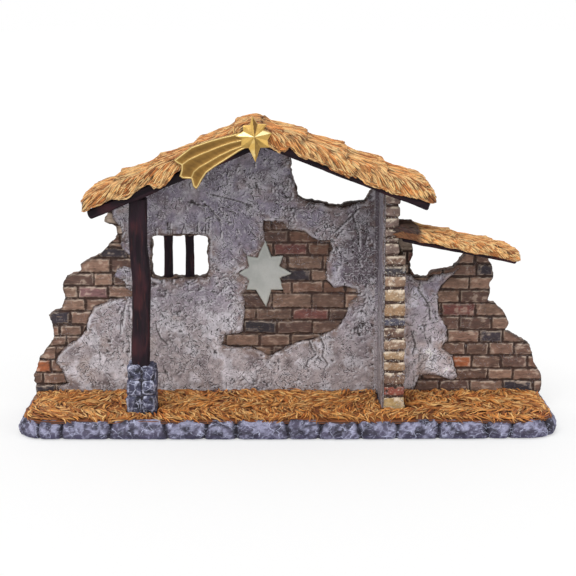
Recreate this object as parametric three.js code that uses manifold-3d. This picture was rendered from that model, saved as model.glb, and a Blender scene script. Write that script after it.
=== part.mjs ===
// A ruined brick stable with a thatched roof, a lean-to and a gilt comet, made to stand behind a set of
// crib figures. A small light unit on the back of the wall lights its star-shaped window.
// Lengths are millimetres. X runs along the stable, Y goes back and Z goes up from the shelf.
import * as THREE from 'three';
import { mergeVertices } from 'three/addons/utils/BufferGeometryUtils.js';
import Module from 'manifold-3d';

const wasm = await Module();
wasm.setup();

// Fits shared by the whole stable
const clearance = 0.3;
const cutOverrun = 4;

// Base and its rim of stones
const baseLength = 383;
const baseDepth = 120;
const baseThickness = 12.7;
const baseCornerRadius = 25;
const baseFrontBow = 4;
const rimStoneLength = 28;
const rimGrooveDepth = 1.7;
const rimStoneProud = 0.8;
const rimTopInset = 3.4;

// Foot pads, set into the underside
const padRadius = 8;
const padThickness = 1.5;
const padProud = 0.5;
const padEdgeDistance = 24;

// Straw floor
const strawThickness = 2.6;
const strawEdgeThickness = 1.2;
const strawEdgeInset = 3.9;
const strawEdgeWave = 1.2;
const strawBorderWidth = 10;
const strawStationLength = 9;
const strawTuftPitch = 17;
const strawTuftRise = 1;
const strawTuftHalfWidth = 6.5;
const strawTuftHalfLength = 9.5;

// Back wall: brick masonry with a plaster coat
const wallEndInset = 1.5;
const wallRise = 135;
const wallMortarY = 30;
const wallThickness = 10;
const wallSplitX = 78;
const coursePitch = 9.6;
const brickPitch = 25;
const mortarGap = 1.5;
const brickProud = 1;
const plasterThickness = 2;
const holeBreakDrop = 1.4;
const gapBreakDrop = 2.4;

// Barred window
const windowWidth = 41;
const windowHeight = 31;
const windowCentreX = -80;
const windowCentreZ = 116.2;
const windowCornerRadius = 4;
const windowPlasterRelief = 1;
const barWidth = 7.1;
const barDepth = 5;
const barSocketDepth = 2;
const barSpacing = 15.9;
const barSetback = 3;

// Cross wall that ends in a brick pillar
const crossWallFrontY = -28;
const crossWallLeftX = 68;
const crossWallWidth = 11;
const crossWallFootWidth = 16;
const crossWallRise = 146;
const crossWallMortarInset = 0.8;
const crossWallPlaster = 1.5;
const crossWallPlasterSetback = 1.2;

// Post and its stone footing
const postEaveInset = 34.3;
const postY = -32;
const postWidth = 13.4;
const postDepth = 12;
const postWaver = 0.7;
const postSocketDepth = 5;
const footingWidth = 22;
const footingDepth = 22;
const footingHeight = 37;
const footingShift = 1.6;
const footingY = -29;
const footingStoneWaver = 0.5;

// Main roof: boards on two front rafters. The heights are those of the underside of the boards.
const ridgeX = -18;
const ridgeHeight = 211;
const leftEaveInset = 50.5;
const leftEaveHeight = 161.3;
const rightEaveReach = 31;
const rightEaveHeight = 165.8;
const roofFrontY = -42;
const roofBackY = 44;
const boardThickness = 2.6;
const rafterHeight = 8.6;
const rafterDepth = 8;
const rafterWaver = 0.5;

// Thatch
const thatchThickness = 6.6;
const thatchCrown = 3.4;
const thatchCrownX = -26;
const thatchCrownLeftSpread = 60;
const thatchCrownRightSpread = 16;
const thatchLump = 0.5;
const thatchCourseLength = 28;
const thatchCourseRise = 2.6;
const thatchRowPitch = 11;
const thatchLip = 4;
const thatchLipDrop = 3;
const thatchTuft = 2.4;
const thatchEndOverhang = 3;
const thatchBackDrop = 2;
const thatchStationLength = 4.5;

// Lean-to roof
const leanToEndInset = 29.5;
const leanToLeftHeight = 140.6;
const leanToRightHeight = 124.5;
const leanToBackFall = 4.2;
const leanToFrontY = -34;
const leanToBackY = 41;
const leanToBoardThickness = 1.6;
const leanToRafterHeight = 4;
const leanToRafterDepth = 7;
const leanToThatchLeft = 5;
const leanToThatchRight = 3.6;
const leanToLump = 0.4;
const leanToCourseRise = 1.4;
const leanToLip = 3;
const leanToLipDrop = 1.4;
const leanToTuft = 1.4;
const leanToEndOverhang = 1.6;

// Star window
const starCentreX = -16.9;
const starCentreZ = 103.6;
const starHalfWidth = 20;
const starHalfHeight = 25.3;
const lensSetback = 0.6;
const lensFlangeLip = 2.2;
const lensFlangeThickness = 1.6;

// Light unit on the back of the wall
const cellDiameter = 10.5;
const cellLength = 44.5;
const cellClearance = 0.4;
const cellCapDiameter = 3.8;
const cellCapHeight = 0.9;
const springLength = 5;
const springRadius = 3.6;
const springWire = 0.7;
const springTurns = 4;
const contactThickness = 0.6;
const contactWidth = 8;
const housingWall = 2;
const housingFloor = 1.2;
const chamberMargin = 0.8;
const doorTongue = 1;
const doorGrooveDepth = 1.1;
const doorLip = 1.2;
const doorFaceInset = 0.8;
const doorGripWidth = 1.2;
const doorGripHeight = 0.5;
const doorGripLength = 12;
const doorGripPitch = 2.4;
const earWidth = 8.4;
const earHeight = 10;
const earThickness = 2.4;
const earEdgeDistance = 9;
const screwDiameter = 3;
const screwLength = 7;
const screwHeadDiameter = 5.6;
const screwHeadHeight = 1.8;
const screwHoleSlack = 0.35;
const screwRecessWidth = 0.9;
const screwRecessDepth = 0.7;
const ledBoardWidth = 30;
const ledBoardHeight = 15;
const ledBoardThickness = 1.2;
const ledBossHeight = 1.6;
const ledBossWidth = 4;
const ledDiameter = 5;
const ledLength = 6.4;
const ledSpacing = 15;
const switchX = 14;
const switchZ = 21.5;
const switchTravel = 3;
const switchKnobWidth = 3.4;
const switchKnobHeight = 3.4;
const switchKnobProud = 1.8;
const switchFlangeWidth = 9;
const switchFlangeHeight = 5;
const switchFlangeThickness = 0.8;
const switchBodyWall = 1.4;
const switchBodyThickness = 2.2;

// Comet at the ridge
const cometX = -22.7;
const cometZ = 210.6;
const cometStarReach = 17.3;
const cometStarThickness = 1.4;
const cometStarCrown = 3;
const cometTailLength = 60;
const cometTailThickness = 2;
const cometRibWidth = 2.2;
const cometRibHeight = 0.9;
const cometPinDiameter = 2.6;
const cometPinDepth = 4;

// Counts
const roundSides = 16;
const screwSides = 10;
const springStepsPerTurn = 8;
const springSides = 5;
const boulderSides = 9;
const boulderRings = 6;

// Levels worked out from the sizes above
const baseTopZ = padProud + baseThickness;
const wallReach = baseLength / 2 - wallEndInset;
const wallFrontY = wallMortarY - plasterThickness;
const wallBackY = wallMortarY + wallThickness;
const leftEaveX = leftEaveInset - wallReach;
const rightEaveX = crossWallLeftX + rightEaveReach;
const postX = leftEaveX + postEaveInset;
const footingX = postX + footingShift;
const thatchFrontY = roofFrontY - clearance - thatchLip;
const cometBackY = thatchFrontY - clearance;
const crossWallPlasterX = crossWallLeftX - crossWallPlaster;
const crossWallRightX = crossWallLeftX + crossWallFootWidth + clearance;
const leanToLeftX = crossWallLeftX + crossWallWidth + clearance;
const leanToRightX = wallReach - leanToEndInset;

// The hash behind every irregular stone, tuft and lump
const hashFirstShare = 127.1;
const hashSecondShare = 311.7;
const hashSpreadShare = 43758.5453;

function chance(first, second = 0) {
  const value = Math.sin(first * hashFirstShare + second * hashSecondShare) * hashSpreadShare;
  return value - Math.floor(value);
}

function swing(first, second = 0) {
  return 2 * chance(first, second) - 1;
}

function mix(from, to, share) {
  return from + (to - from) * share;
}

// Solids

function solidOf(geometry) {
  const bare = geometry.clone();
  bare.deleteAttribute('normal');
  bare.deleteAttribute('uv');
  const merged = mergeVertices(bare);
  const triVerts = new Uint32Array(merged.index.array);
  const vertProperties = new Float32Array(merged.attributes.position.array);
  return new wasm.Manifold(new wasm.Mesh({ numProp: 3, vertProperties, triVerts }));
}

function geometryOf(solid) {
  const { vertProperties, triVerts } = solid.getMesh();
  const geometry = new THREE.BufferGeometry();
  geometry.setAttribute('position', new THREE.BufferAttribute(new Float32Array(vertProperties), 3));
  geometry.setIndex(new THREE.BufferAttribute(new Uint32Array(triVerts), 1));
  geometry.computeVertexNormals();
  return geometry;
}

function joined(solids) {
  return solids.reduce((sum, solid) => sum.add(solid));
}

function boxBetween([x0, x1], [y0, y1], [z0, z1]) {
  const geometry = new THREE.BoxGeometry(x1 - x0, y1 - y0, z1 - z0);
  geometry.translate((x0 + x1) / 2, (y0 + y1) / 2, (z0 + z1) / 2);
  return solidOf(geometry);
}

// A plate cut to an outline of [x, z] points, standing between two Y planes
function plateSolid(outline, frontY, backY) {
  const shape = new THREE.Shape(outline.map(([x, z]) => new THREE.Vector2(x, z)));
  return shapeSolid(shape, frontY, backY);
}

function shapeSolid(shape, frontY, backY) {
  const geometry = new THREE.ExtrudeGeometry(shape, {
    depth: backY - frontY,
    bevelEnabled: false,
    curveSegments: 4,
  });
  geometry.rotateX(Math.PI / 2);
  geometry.translate(0, backY, 0);
  return solidOf(geometry);
}

// A round bar along Y
function barAlongY(radius, [x, z], [y0, y1], sides = roundSides) {
  const geometry = new THREE.CylinderGeometry(radius, radius, y1 - y0, sides);
  geometry.translate(x, (y0 + y1) / 2, z);
  return solidOf(geometry);
}

function area2(points) {
  return points.reduce((sum, [x, y], i) => {
    const [nextX, nextY] = points[(i + 1) % points.length];
    return sum + x * nextY - y * nextX;
  }, 0);
}

// Closed loops of equally many [x, y, z] points, joined in turn and capped at both ends. The caps are a
// fan round each end loop's centre, or follow the loop as seen in the two axes given.
function closedLoft(loops, capAxes = null) {
  const count = loops[0].length;
  const points = loops.flat();
  const faces = [];
  for (let i = 0; i + 1 < loops.length; i++) {
    for (let j = 0; j < count; j++) {
      const here = i * count + j;
      const beside = i * count + ((j + 1) % count);
      faces.push([here, beside, beside + count], [here, beside + count, here + count]);
    }
  }
  for (const start of [0, points.length - count]) {
    const cap = capAxes ? flatCap(points, start, count, capAxes) : fanCap(points, start, count);
    faces.push(...cap.map((face) => (start ? face : [...face].reverse())));
  }
  const volume = faces.reduce((sum, [a, b, c]) => {
    const cross = new THREE.Vector3(...points[b]).cross(new THREE.Vector3(...points[c]));
    return sum + new THREE.Vector3(...points[a]).dot(cross);
  }, 0);
  const geometry = new THREE.BufferGeometry();
  geometry.setAttribute('position', new THREE.Float32BufferAttribute(points.flat(), 3));
  geometry.setIndex((volume > 0 ? faces : faces.map((face) => [...face].reverse())).flat());
  return solidOf(geometry);
}

function fanCap(points, start, count) {
  const loop = points.slice(start, start + count);
  const centre = [0, 1, 2].map((k) => loop.reduce((sum, p) => sum + p[k], 0) / count);
  const hub = points.push(centre) - 1;
  return [...Array(count).keys()].map((j) => [start + j, start + ((j + 1) % count), hub]);
}

function flatCap(points, start, count, [across, up]) {
  const flat = points.slice(start, start + count).map((p) => [p[across], p[up]]);
  const turn = Math.sign(area2(flat));
  const contour = flat.map(([x, y]) => new THREE.Vector2(x, y));
  return THREE.ShapeUtils.triangulateShape(contour, []).map((face) => {
    const isAlike = Math.sign(area2(face.map((k) => flat[k]))) === turn;
    const cap = face.map((k) => start + k);
    return isAlike ? cap : cap.reverse();
  });
}

function isInside([x, z], outline) {
  let inside = false;
  outline.forEach(([x0, z0], i) => {
    const [x1, z1] = outline[(i + 1) % outline.length];
    if (z0 > z !== z1 > z && x < x0 + ((x1 - x0) * (z - z0)) / (z1 - z0)) inside = !inside;
  });
  return inside;
}

// Base and rim

// Stations along one rim stone, and how deep the groove between stones is at each
const rimStationShares = [0, 0.1, 0.36, 0.66, 0.9];
const rimStationGrooveShares = [1, 0.3, 0, 0, 0.3];
// Rim levels from the bottom up: height, inset and groove depth
const rimLevelShares = [
  [0, 0.3, 0.7],
  [0.16, 0.06, 1],
  [0.5, 0, 1],
  [0.8, 0.22, 1],
  [1, 1, 0.6],
];

function basePerimeter() {
  const straights = 2 * (baseLength + baseDepth) - 8 * baseCornerRadius;
  return straights + 2 * Math.PI * baseCornerRadius;
}

// The point at a distance along the base's edge, drawn in by an inset, starting at the front left corner
function baseEdgePoint(distance, inset) {
  const sides = [baseLength, baseDepth, baseLength, baseDepth].map((side) => side - 2 * baseCornerRadius);
  const arc = (Math.PI / 2) * baseCornerRadius;
  let rest = distance % basePerimeter();
  let side = 0;
  while (rest > sides[side] + arc) {
    rest -= sides[side] + arc;
    side += 1;
  }
  const along = Math.min(rest, sides[side]);
  const turned = (Math.max(rest - sides[side], 0) / arc) * (Math.PI / 2);
  const halfSide = sides[side] / 2;
  const halfAcross = (side % 2 ? baseLength : baseDepth) / 2 - baseCornerRadius;
  const radius = baseCornerRadius - inset;
  const x = along - halfSide + radius * Math.sin(turned);
  const y = -halfAcross - radius * Math.cos(turned);
  const angle = (side * Math.PI) / 2;
  const turnedX = x * Math.cos(angle) - y * Math.sin(angle);
  const turnedY = x * Math.sin(angle) + y * Math.cos(angle);
  return [turnedX, drawnBack(turnedX, turnedY)];
}

// The front edge draws back towards its right corner
function drawnBack(x, y) {
  if (x < 0 || y > 0) return y;
  return y + baseFrontBow * ((2 * x) / baseLength) ** 2 * ((-2 * y) / baseDepth);
}

function baseSlab() {
  const stones = Math.round(basePerimeter() / rimStoneLength);
  const stoneLength = basePerimeter() / stones;
  const loops = rimLevelShares.map(([heightShare, insetShare, grooveShare]) => {
    const loop = [];
    for (let stone = 0; stone < stones; stone++) {
      rimStationShares.forEach((stationShare, k) => {
        const groove = rimGrooveDepth * grooveShare * rimStationGrooveShares[k];
        const proud = rimStoneProud * chance(stone, k) * (1 - insetShare);
        const inset = rimTopInset * insetShare + groove + proud;
        const [x, y] = baseEdgePoint((stone + stationShare) * stoneLength, inset);
        loop.push([x, y, padProud + baseThickness * heightShare]);
      });
    }
    return loop;
  });
  return padPlaces().reduce((slab, place) => slab.subtract(padPocket(place)), closedLoft(loops));
}

function padPlaces() {
  const x = baseLength / 2 - padEdgeDistance;
  const y = baseDepth / 2 - padEdgeDistance;
  return [[-x, -y], [x, -y], [x, y], [-x, y]];
}

function disc(radius, [x, y], [z0, z1]) {
  const geometry = new THREE.CylinderGeometry(radius, radius, z1 - z0, roundSides);
  geometry.rotateX(Math.PI / 2);
  geometry.translate(x, y, (z0 + z1) / 2);
  return solidOf(geometry);
}

function padPocket(place) {
  return disc(padRadius + clearance, place, [-cutOverrun, padThickness]);
}

function footPad(place) {
  return disc(padRadius, place, [0, padThickness]);
}

// Straw floor, in front of the wall and behind it

function strawMat() {
  const stations = Math.round(basePerimeter() / strawStationLength);
  const levels = [
    [0, 0],
    [0, strawEdgeThickness],
    [strawBorderWidth, strawThickness],
  ];
  const loops = levels.map(([inward, rise], level) => {
    const loop = [];
    for (let station = 0; station < stations; station++) {
      const wave = strawEdgeWave * swing(station) * (level < 2 ? 1 : 0);
      const distance = (station / stations) * basePerimeter();
      const [x, y] = baseEdgePoint(distance, strawEdgeInset + inward + wave);
      loop.push([x, y, baseTopZ + rise]);
    }
    return loop;
  });
  return joined([closedLoft(loops), ...strawTufts()]);
}

// Low tufts of straw, laid in staggered rows on the mat
const strawTuftSides = 7;
const strawTuftRings = 4;
const strawTuftWanderShare = 0.22;

function strawTufts() {
  const halfX = baseLength / 2 - strawEdgeInset - strawBorderWidth;
  const halfY = baseDepth / 2 - strawEdgeInset - strawBorderWidth;
  const cornerReach = baseCornerRadius - strawEdgeInset - strawBorderWidth;
  const tufts = [];
  for (let row = Math.ceil(-halfY / strawTuftPitch); row * strawTuftPitch < halfY; row++) {
    for (let n = Math.ceil(-halfX / strawTuftPitch); n * strawTuftPitch < halfX; n++) {
      const stagger = (row % 2) / 2 + strawTuftWanderShare * swing(row, n);
      const x = (n + stagger) * strawTuftPitch;
      const y = (row + strawTuftWanderShare * swing(n, row)) * strawTuftPitch;
      const pastX = Math.max(Math.abs(x) - halfX + cornerReach, 0);
      const pastY = Math.max(Math.abs(y) - halfY + cornerReach, 0);
      if (Math.hypot(pastX, pastY) > cornerReach) continue;
      tufts.push(strawTuft([x, y], 1 + strawTuftWanderShare * swing(n, row + 1)));
    }
  }
  return tufts;
}

function strawTuft([x, y], sizeShare) {
  const geometry = new THREE.SphereGeometry(1, strawTuftSides, strawTuftRings);
  geometry.rotateX(Math.PI / 2);
  geometry.scale(strawTuftHalfWidth * sizeShare, strawTuftHalfLength * sizeShare, strawTuftRise * sizeShare);
  geometry.translate(x, y, baseTopZ + strawThickness);
  return solidOf(geometry);
}

function strawFloor() {
  const behind = [wallFrontY - clearance, baseDepth];
  const high = [0, 2 * (baseTopZ + strawThickness)];
  const pit = boxBetween([-baseLength, baseLength], behind, high);
  const crossX = [crossWallPlasterX - clearance, crossWallRightX];
  const crossPit = boxBetween(crossX, [crossWallFrontY - clearance, wallMortarY], high);
  return strawMat().subtract(pit).subtract(crossPit).subtract(footingVoid(high));
}

function strawStrip() {
  const ahead = [-baseDepth, wallBackY + clearance];
  const high = [0, 2 * (baseTopZ + strawThickness)];
  return strawMat().subtract(boxBetween([-baseLength, baseLength], ahead, high));
}

function footingVoid(high) {
  const halfWidth = footingWidth / 2 + clearance;
  const halfDepth = footingDepth / 2 + clearance;
  const acrossX = [footingX - halfWidth, footingX + halfWidth];
  return boxBetween(acrossX, [footingY - halfDepth, footingY + halfDepth], high);
}

// Roof lines

function roofUndersideZ(x) {
  const eaveX = x < ridgeX ? leftEaveX : rightEaveX;
  const eaveHeight = x < ridgeX ? leftEaveHeight : rightEaveHeight;
  return mix(eaveHeight, ridgeHeight, (x - eaveX) / (ridgeX - eaveX));
}

// The lean-to roof at its front edge, and how far it has fallen at a place further back
function leanToUndersideZ(x) {
  const share = (x - leanToLeftX) / (leanToRightX - leanToLeftX);
  return mix(leanToLeftHeight, leanToRightHeight, share);
}

function leanToFall(y) {
  return (leanToBackFall * (y - leanToFrontY)) / (leanToBackY - leanToFrontY);
}

// Back wall outlines. Shares across are of wallReach left of the middle and of wallSplitX right of it, and
// the lean-to wall's are of its run from the cross wall to wallReach. Shares up are of wallRise from the base.

const leftEndShares = [
  [-0.997, 0], [-1, 0.054], [-1, 0.113], [-0.98, 0.191], [-0.935, 0.269], [-0.92, 0.327],
  [-0.926, 0.39], [-0.938, 0.434], [-0.887, 0.473], [-0.869, 0.53], [-0.881, 0.607], [-0.864, 0.645],
  [-0.806, 0.684], [-0.809, 0.722], [-0.734, 0.77], [-0.694, 0.827], [-0.663, 0.874],
  [-0.665, 0.927], [-0.708, 0.959], [-0.705, 1],
];
const leftEndTopShare = -0.7;
const holeShares = [
  [0.027, 1.253], [0.058, 1.18], [0.083, 1.107], [0.146, 1.077], [0.309, 1.067], [0.397, 1.049],
  [0.507, 1.044], [0.643, 1.068], [0.726, 1.076], [0.767, 1.124], [0.789, 1.132],
];
const holeTopShares = [0.032, 0.794];
const leanToGapShares = [
  [0.079, 0.84], [0.079, 0.777], [0.05, 0.73], [0.056, 0.684], [0.099, 0.65], [0.175, 0.65],
  [0.228, 0.679], [0.357, 0.696], [0.398, 0.726], [0.439, 0.777],
];
const leanToGapTopShares = [0.083, 0.446];
const rightEndShares = [
  [0.612, 0.752], [0.633, 0.718], [0.646, 0.667], [0.615, 0.581], [0.612, 0.509], [0.672, 0.496],
  [0.727, 0.453], [0.761, 0.393], [0.731, 0.35], [0.807, 0.316], [0.917, 0.264], [0.93, 0.22],
  [0.959, 0.151], [1, 0.09], [1, 0.029], [0.992, 0],
];
const rightEndTopShare = 0.605;

// Plaster outlines, in the same shares
const plasterLeftShares = [
  [-0.905, 0.002], [-0.908, 0.035], [-0.867, 0.055], [-0.887, 0.123], [-0.913, 0.172], [-0.908, 0.21],
  [-0.871, 0.259], [-0.829, 0.299], [-0.795, 0.347], [-0.783, 0.424], [-0.759, 0.482],
  [-0.692, 0.521], [-0.617, 0.54], [-0.568, 0.584], [-0.558, 0.717], [-0.568, 0.85],
  [-0.613, 0.939], [-0.668, 0.954], [-0.679, 1.013],
];
const plasterLeftTopShare = -0.69;
const brickPatchShares = [
  [-0.095, 0.959], [-0.018, 0.955], [0.012, 0.913], [0.151, 0.903], [0.248, 0.86], [0.387, 0.85],
  [0.412, 0.808], [0.356, 0.713], [0.365, 0.636], [0.431, 0.593], [0.546, 0.598], [0.65, 0.578],
  [0.66, 0.54], [0.58, 0.501], [0.546, 0.434], [0.465, 0.367], [0.27, 0.308], [0.088, 0.289],
  [-0.025, 0.24], [-0.079, 0.21], [-0.126, 0.25], [-0.228, 0.259], [-0.262, 0.269], [-0.248, 0.327],
  [-0.181, 0.347], [-0.166, 0.473], [-0.179, 0.559], [-0.126, 0.643], [-0.095, 0.79],
];
const leanToPlasterShares = [
  [0.004, 0.002], [0.099, 0.002], [0.099, 0.021], [0.141, 0.099], [0.239, 0.104], [0.358, 0.072],
  [0.401, 0.099], [0.367, 0.203], [0.29, 0.255], [0.322, 0.299], [0.321, 0.376], [0.265, 0.445],
  [0.252, 0.564], [0.283, 0.607], [0.403, 0.7],
];
const leanToPlasterTopShares = [[0.056, 0.684], [0.004, 0.69]];
const leanToPlasterGapFirst = 4;
const leanToPlasterGapLast = 8;

function wallPlace([acrossShare, upShare], drop = 0) {
  const reach = acrossShare < 0 ? wallReach : wallSplitX;
  return [reach * acrossShare, baseTopZ + wallRise * upShare - drop];
}

function leanToPlace([acrossShare, upShare], drop = 0) {
  return [mix(crossWallRightX, wallReach, acrossShare), baseTopZ + wallRise * upShare - drop];
}

function underRoof(x) {
  return [x, roofUndersideZ(x) - clearance];
}

function underLeanTo(x) {
  return [x, leanToUndersideZ(x) - leanToFall(wallBackY) - clearance];
}

function mainWallOutline() {
  return [
    ...leftEndShares.map((share) => wallPlace(share)),
    underRoof(wallReach * leftEndTopShare),
    underRoof(ridgeX),
    underRoof(wallSplitX * holeTopShares[0]),
    ...holeShares.map((share) => wallPlace(share)),
    underRoof(wallSplitX * holeTopShares[1]),
    underRoof(wallSplitX),
    [wallSplitX, baseTopZ],
  ];
}

function leanToWallOutline() {
  const leftX = wallSplitX + clearance;
  return [
    [leftX, baseTopZ],
    underLeanTo(leftX),
    underLeanTo(mix(crossWallRightX, wallReach, leanToGapTopShares[0])),
    ...leanToGapShares.map((share) => leanToPlace(share)),
    underLeanTo(mix(crossWallRightX, wallReach, leanToGapTopShares[1])),
    underLeanTo(mix(crossWallRightX, wallReach, rightEndTopShare)),
    ...rightEndShares.map((share) => leanToPlace(share)),
  ];
}

function mainPlasterOutline() {
  const rightX = crossWallPlasterX - clearance;
  return [
    ...plasterLeftShares.map((share) => wallPlace(share)),
    underRoof(wallReach * plasterLeftTopShare),
    underRoof(ridgeX),
    underRoof(wallSplitX * holeTopShares[0]),
    ...holeShares.map((share) => wallPlace(share, holeBreakDrop)),
    underRoof(wallSplitX * holeTopShares[1]),
    underRoof(rightX),
    [rightX, wallPlace(plasterLeftShares[0])[1]],
  ];
}

function leanToPlasterOutline() {
  const brokenEdge = leanToGapShares.slice(leanToPlasterGapFirst, leanToPlasterGapLast).reverse();
  return [
    ...leanToPlasterShares.map((share) => leanToPlace(share)),
    ...brokenEdge.map((share) => leanToPlace(share, gapBreakDrop)),
    ...leanToPlasterTopShares.map((share) => leanToPlace(share, gapBreakDrop)),
  ];
}

// Star outline, in shares of the half width and half height
const starShares = [
  [0, 1], [0.22, 0.5], [0.67, 0.53], [0.53, 0.22], [1, 0], [0.545, -0.14], [0.67, -0.48], [0.23, -0.49],
  [0.03, -1], [-0.35, -0.49], [-0.72, -0.49], [-0.62, -0.19], [-1, 0], [-0.62, 0.2], [-0.68, 0.53],
  [-0.3, 0.47],
];

// The star window's outline, grown outwards all round by a margin
function starOutline(margin) {
  return starShares.map(([acrossShare, upShare]) => {
    const x = starHalfWidth * acrossShare;
    const z = starHalfHeight * upShare;
    const reach = Math.hypot(x, z);
    return [x + (margin * x) / reach, z + (margin * z) / reach];
  });
}

function starVoid(margin, frontY, backY) {
  const outline = starOutline(margin).map(([x, z]) => [x + starCentreX, z + starCentreZ]);
  return plateSolid(outline, frontY, backY);
}

function windowVoid(relief, frontY, backY) {
  const halfWidth = windowWidth / 2 + relief;
  const halfHeight = windowHeight / 2 + relief;
  const shape = new THREE.Shape();
  const corners = [[1, -1], [1, 1], [-1, 1], [-1, -1]];
  corners.forEach(([signX, signZ], k) => {
    const x = windowCentreX + signX * (halfWidth - windowCornerRadius);
    const z = windowCentreZ + signZ * (halfHeight - windowCornerRadius);
    const start = ((k - 1) * Math.PI) / 2;
    shape.absarc(x, z, windowCornerRadius, start, start + Math.PI / 2);
  });
  return shapeSolid(shape, frontY, backY);
}

function barPlaces() {
  return [windowCentreX - barSpacing / 2, windowCentreX + barSpacing / 2].map((x) => x - barWidth / 8);
}

function windowBar(x, slack = 0) {
  const halfWidth = barWidth / 2 + slack;
  const halfHeight = windowHeight / 2 + barSocketDepth + slack - clearance;
  const y = wallMortarY + barSetback;
  const acrossY = [y - slack, y + barDepth + slack];
  const upZ = [windowCentreZ - halfHeight, windowCentreZ + halfHeight];
  return boxBetween([x - halfWidth, x + halfWidth], acrossY, upZ);
}

// Every other course shifts by half a brick, give or take; a brick's face is not quite level either
const courseShiftShare = 0.5;
const courseWanderShare = 0.12;
const brickSinkShare = 0.5;

// Bricks that stand proud of the mortar wherever the plaster has fallen off
function bricksOutside(plaster, plasterOutlines, wallOutline, [minX, maxX], isBare) {
  const frontY = wallMortarY - brickProud;
  const backY = wallMortarY + wallThickness / 2;
  const whole = plateSolid(wallOutline, frontY, backY);
  const courses = Math.ceil((2 * wallRise) / coursePitch);
  const bricks = [];
  for (let course = 0; course < courses; course++) {
    const z0 = baseTopZ + course * coursePitch + mortarGap / 2;
    const z1 = z0 + coursePitch - mortarGap;
    const shift = (course % 2) * courseShiftShare + courseWanderShare * swing(course);
    for (let n = Math.floor(minX / brickPitch) - 1; n * brickPitch < maxX; n++) {
      const x0 = (n + shift) * brickPitch + mortarGap / 2;
      const x1 = x0 + brickPitch - mortarGap;
      const middle = [(x0 + x1) / 2, (z0 + z1) / 2];
      const spots = [middle, [x0, z0], [x1, z0], [x1, z1], [x0, z1]];
      const bare = spots.filter((spot) => isInside(spot, wallOutline) && isBare(spot, plasterOutlines));
      if (bare.length < 2 || x0 < minX || x0 > maxX) continue;
      const sunk = brickSinkShare * brickProud * chance(course, n);
      bricks.push(boxBetween([x0, x1], [frontY + sunk, backY], [z0, z1]));
    }
  }
  const shifts = [[0, 0], [1, 0], [-1, 0], [0, 1], [0, -1]];
  return shifts.reduce(
    (rest, [signX, signZ]) => rest.subtract(plaster.translate([signX * clearance, 0, signZ * clearance])),
    joined(bricks).intersect(whole),
  );
}

function isOnMainBrick(spot, [plasterOutline, patchOutline]) {
  return !isInside(spot, plasterOutline) || isInside(spot, patchOutline);
}

function isOnLeanToBrick(spot, [plasterOutline]) {
  return !isInside(spot, plasterOutline);
}

function mainPlaster() {
  const thick = [wallFrontY - cutOverrun, wallMortarY + cutOverrun];
  return plateSolid(mainPlasterOutline(), wallFrontY, wallMortarY)
    .subtract(plateSolid(brickPatchShares.map((share) => wallPlace(share)), ...thick))
    .subtract(starVoid(clearance, ...thick))
    .subtract(windowVoid(windowPlasterRelief, ...thick));
}

function leanToPlaster() {
  return plateSolid(leanToPlasterOutline(), wallFrontY, wallMortarY);
}

function mainWall(plaster) {
  const outline = mainWallOutline();
  const patch = brickPatchShares.map((share) => wallPlace(share));
  const reach = [-wallReach - brickPitch, crossWallPlasterX - brickPitch];
  const bricks = bricksOutside(plaster, [mainPlasterOutline(), patch], outline, reach, isOnMainBrick);
  const through = [wallMortarY - cutOverrun, wallBackY + cutOverrun];
  const wall = plateSolid(outline, wallMortarY, wallBackY)
    .add(bricks)
    .subtract(starVoid(clearance, ...through))
    .subtract(windowVoid(0, ...through));
  const barred = barPlaces().reduce((rest, x) => rest.subtract(windowBar(x, clearance)), wall);
  return screwPlaces().reduce((rest, [x, z]) => rest.subtract(screwPilot(x, z)), barred);
}

function screwPilot(x, z) {
  const depth = [wallBackY - screwLength, wallBackY + cutOverrun];
  const place = [starCentreX + x, starCentreZ + z];
  return barAlongY(screwDiameter / 2 + screwHoleSlack, place, depth, screwSides);
}

function leanToWall(plaster) {
  const outline = leanToWallOutline();
  const reach = [crossWallRightX, wallReach];
  const bricks = bricksOutside(plaster, [leanToPlasterOutline()], outline, reach, isOnLeanToBrick);
  return plateSolid(outline, wallMortarY, wallBackY).add(bricks);
}

// Cross wall. Each course gives the share of crossWallRise where it ends, how far right it reaches as a
// share of the foot's width, and how far it is set back as a share of mortar inset.
const crossCourseShares = [
  [0.055, 1, 0.2], [0.115, 0.97, 0.9], [0.18, 1, 0.1], [0.235, 0.94, 0.6], [0.285, 1, 0],
  [0.345, 0.96, 0.7], [0.4, 1, 0.3], [0.45, 0.93, 0], [0.525, 1, 0.5], [0.59, 0.97, 0.2],
  [0.655, 0.95, 0.8], [0.715, 0.7, 0.3], [0.755, 0.68, 0], [0.81, 0.7, 0.6], [0.835, 0.66, 0.9],
  [0.885, 0.7, 0.2], [0.94, 0.67, 0.5], [1, 0.69, 0.1], [1.06, 0.66, 0.7], [1.12, 0.69, 0.3],
  [1.19, 0.67, 0.6],
];

function crossWall() {
  const backY = wallMortarY - clearance;
  const parts = [];
  let lowShare = 0;
  crossCourseShares.forEach(([highShare, rightShare, setbackShare]) => {
    const z0 = baseTopZ + crossWallRise * lowShare;
    const z1 = baseTopZ + crossWallRise * highShare;
    const rightX = crossWallLeftX + crossWallFootWidth * rightShare;
    const frontY = crossWallFrontY + crossWallMortarInset * setbackShare;
    const coreFront = crossWallFrontY + 2 * crossWallMortarInset;
    parts.push(boxBetween([crossWallLeftX, rightX - crossWallMortarInset], [coreFront, backY], [z0, z1]));
    const face = [z0 + mortarGap / 2, z1 - mortarGap / 2];
    parts.push(boxBetween([crossWallLeftX, rightX], [frontY, backY], lowShare ? face : [z0, face[1]]));
    lowShare = highShare;
  });
  return joined(parts).subtract(aboveRoof());
}

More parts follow.
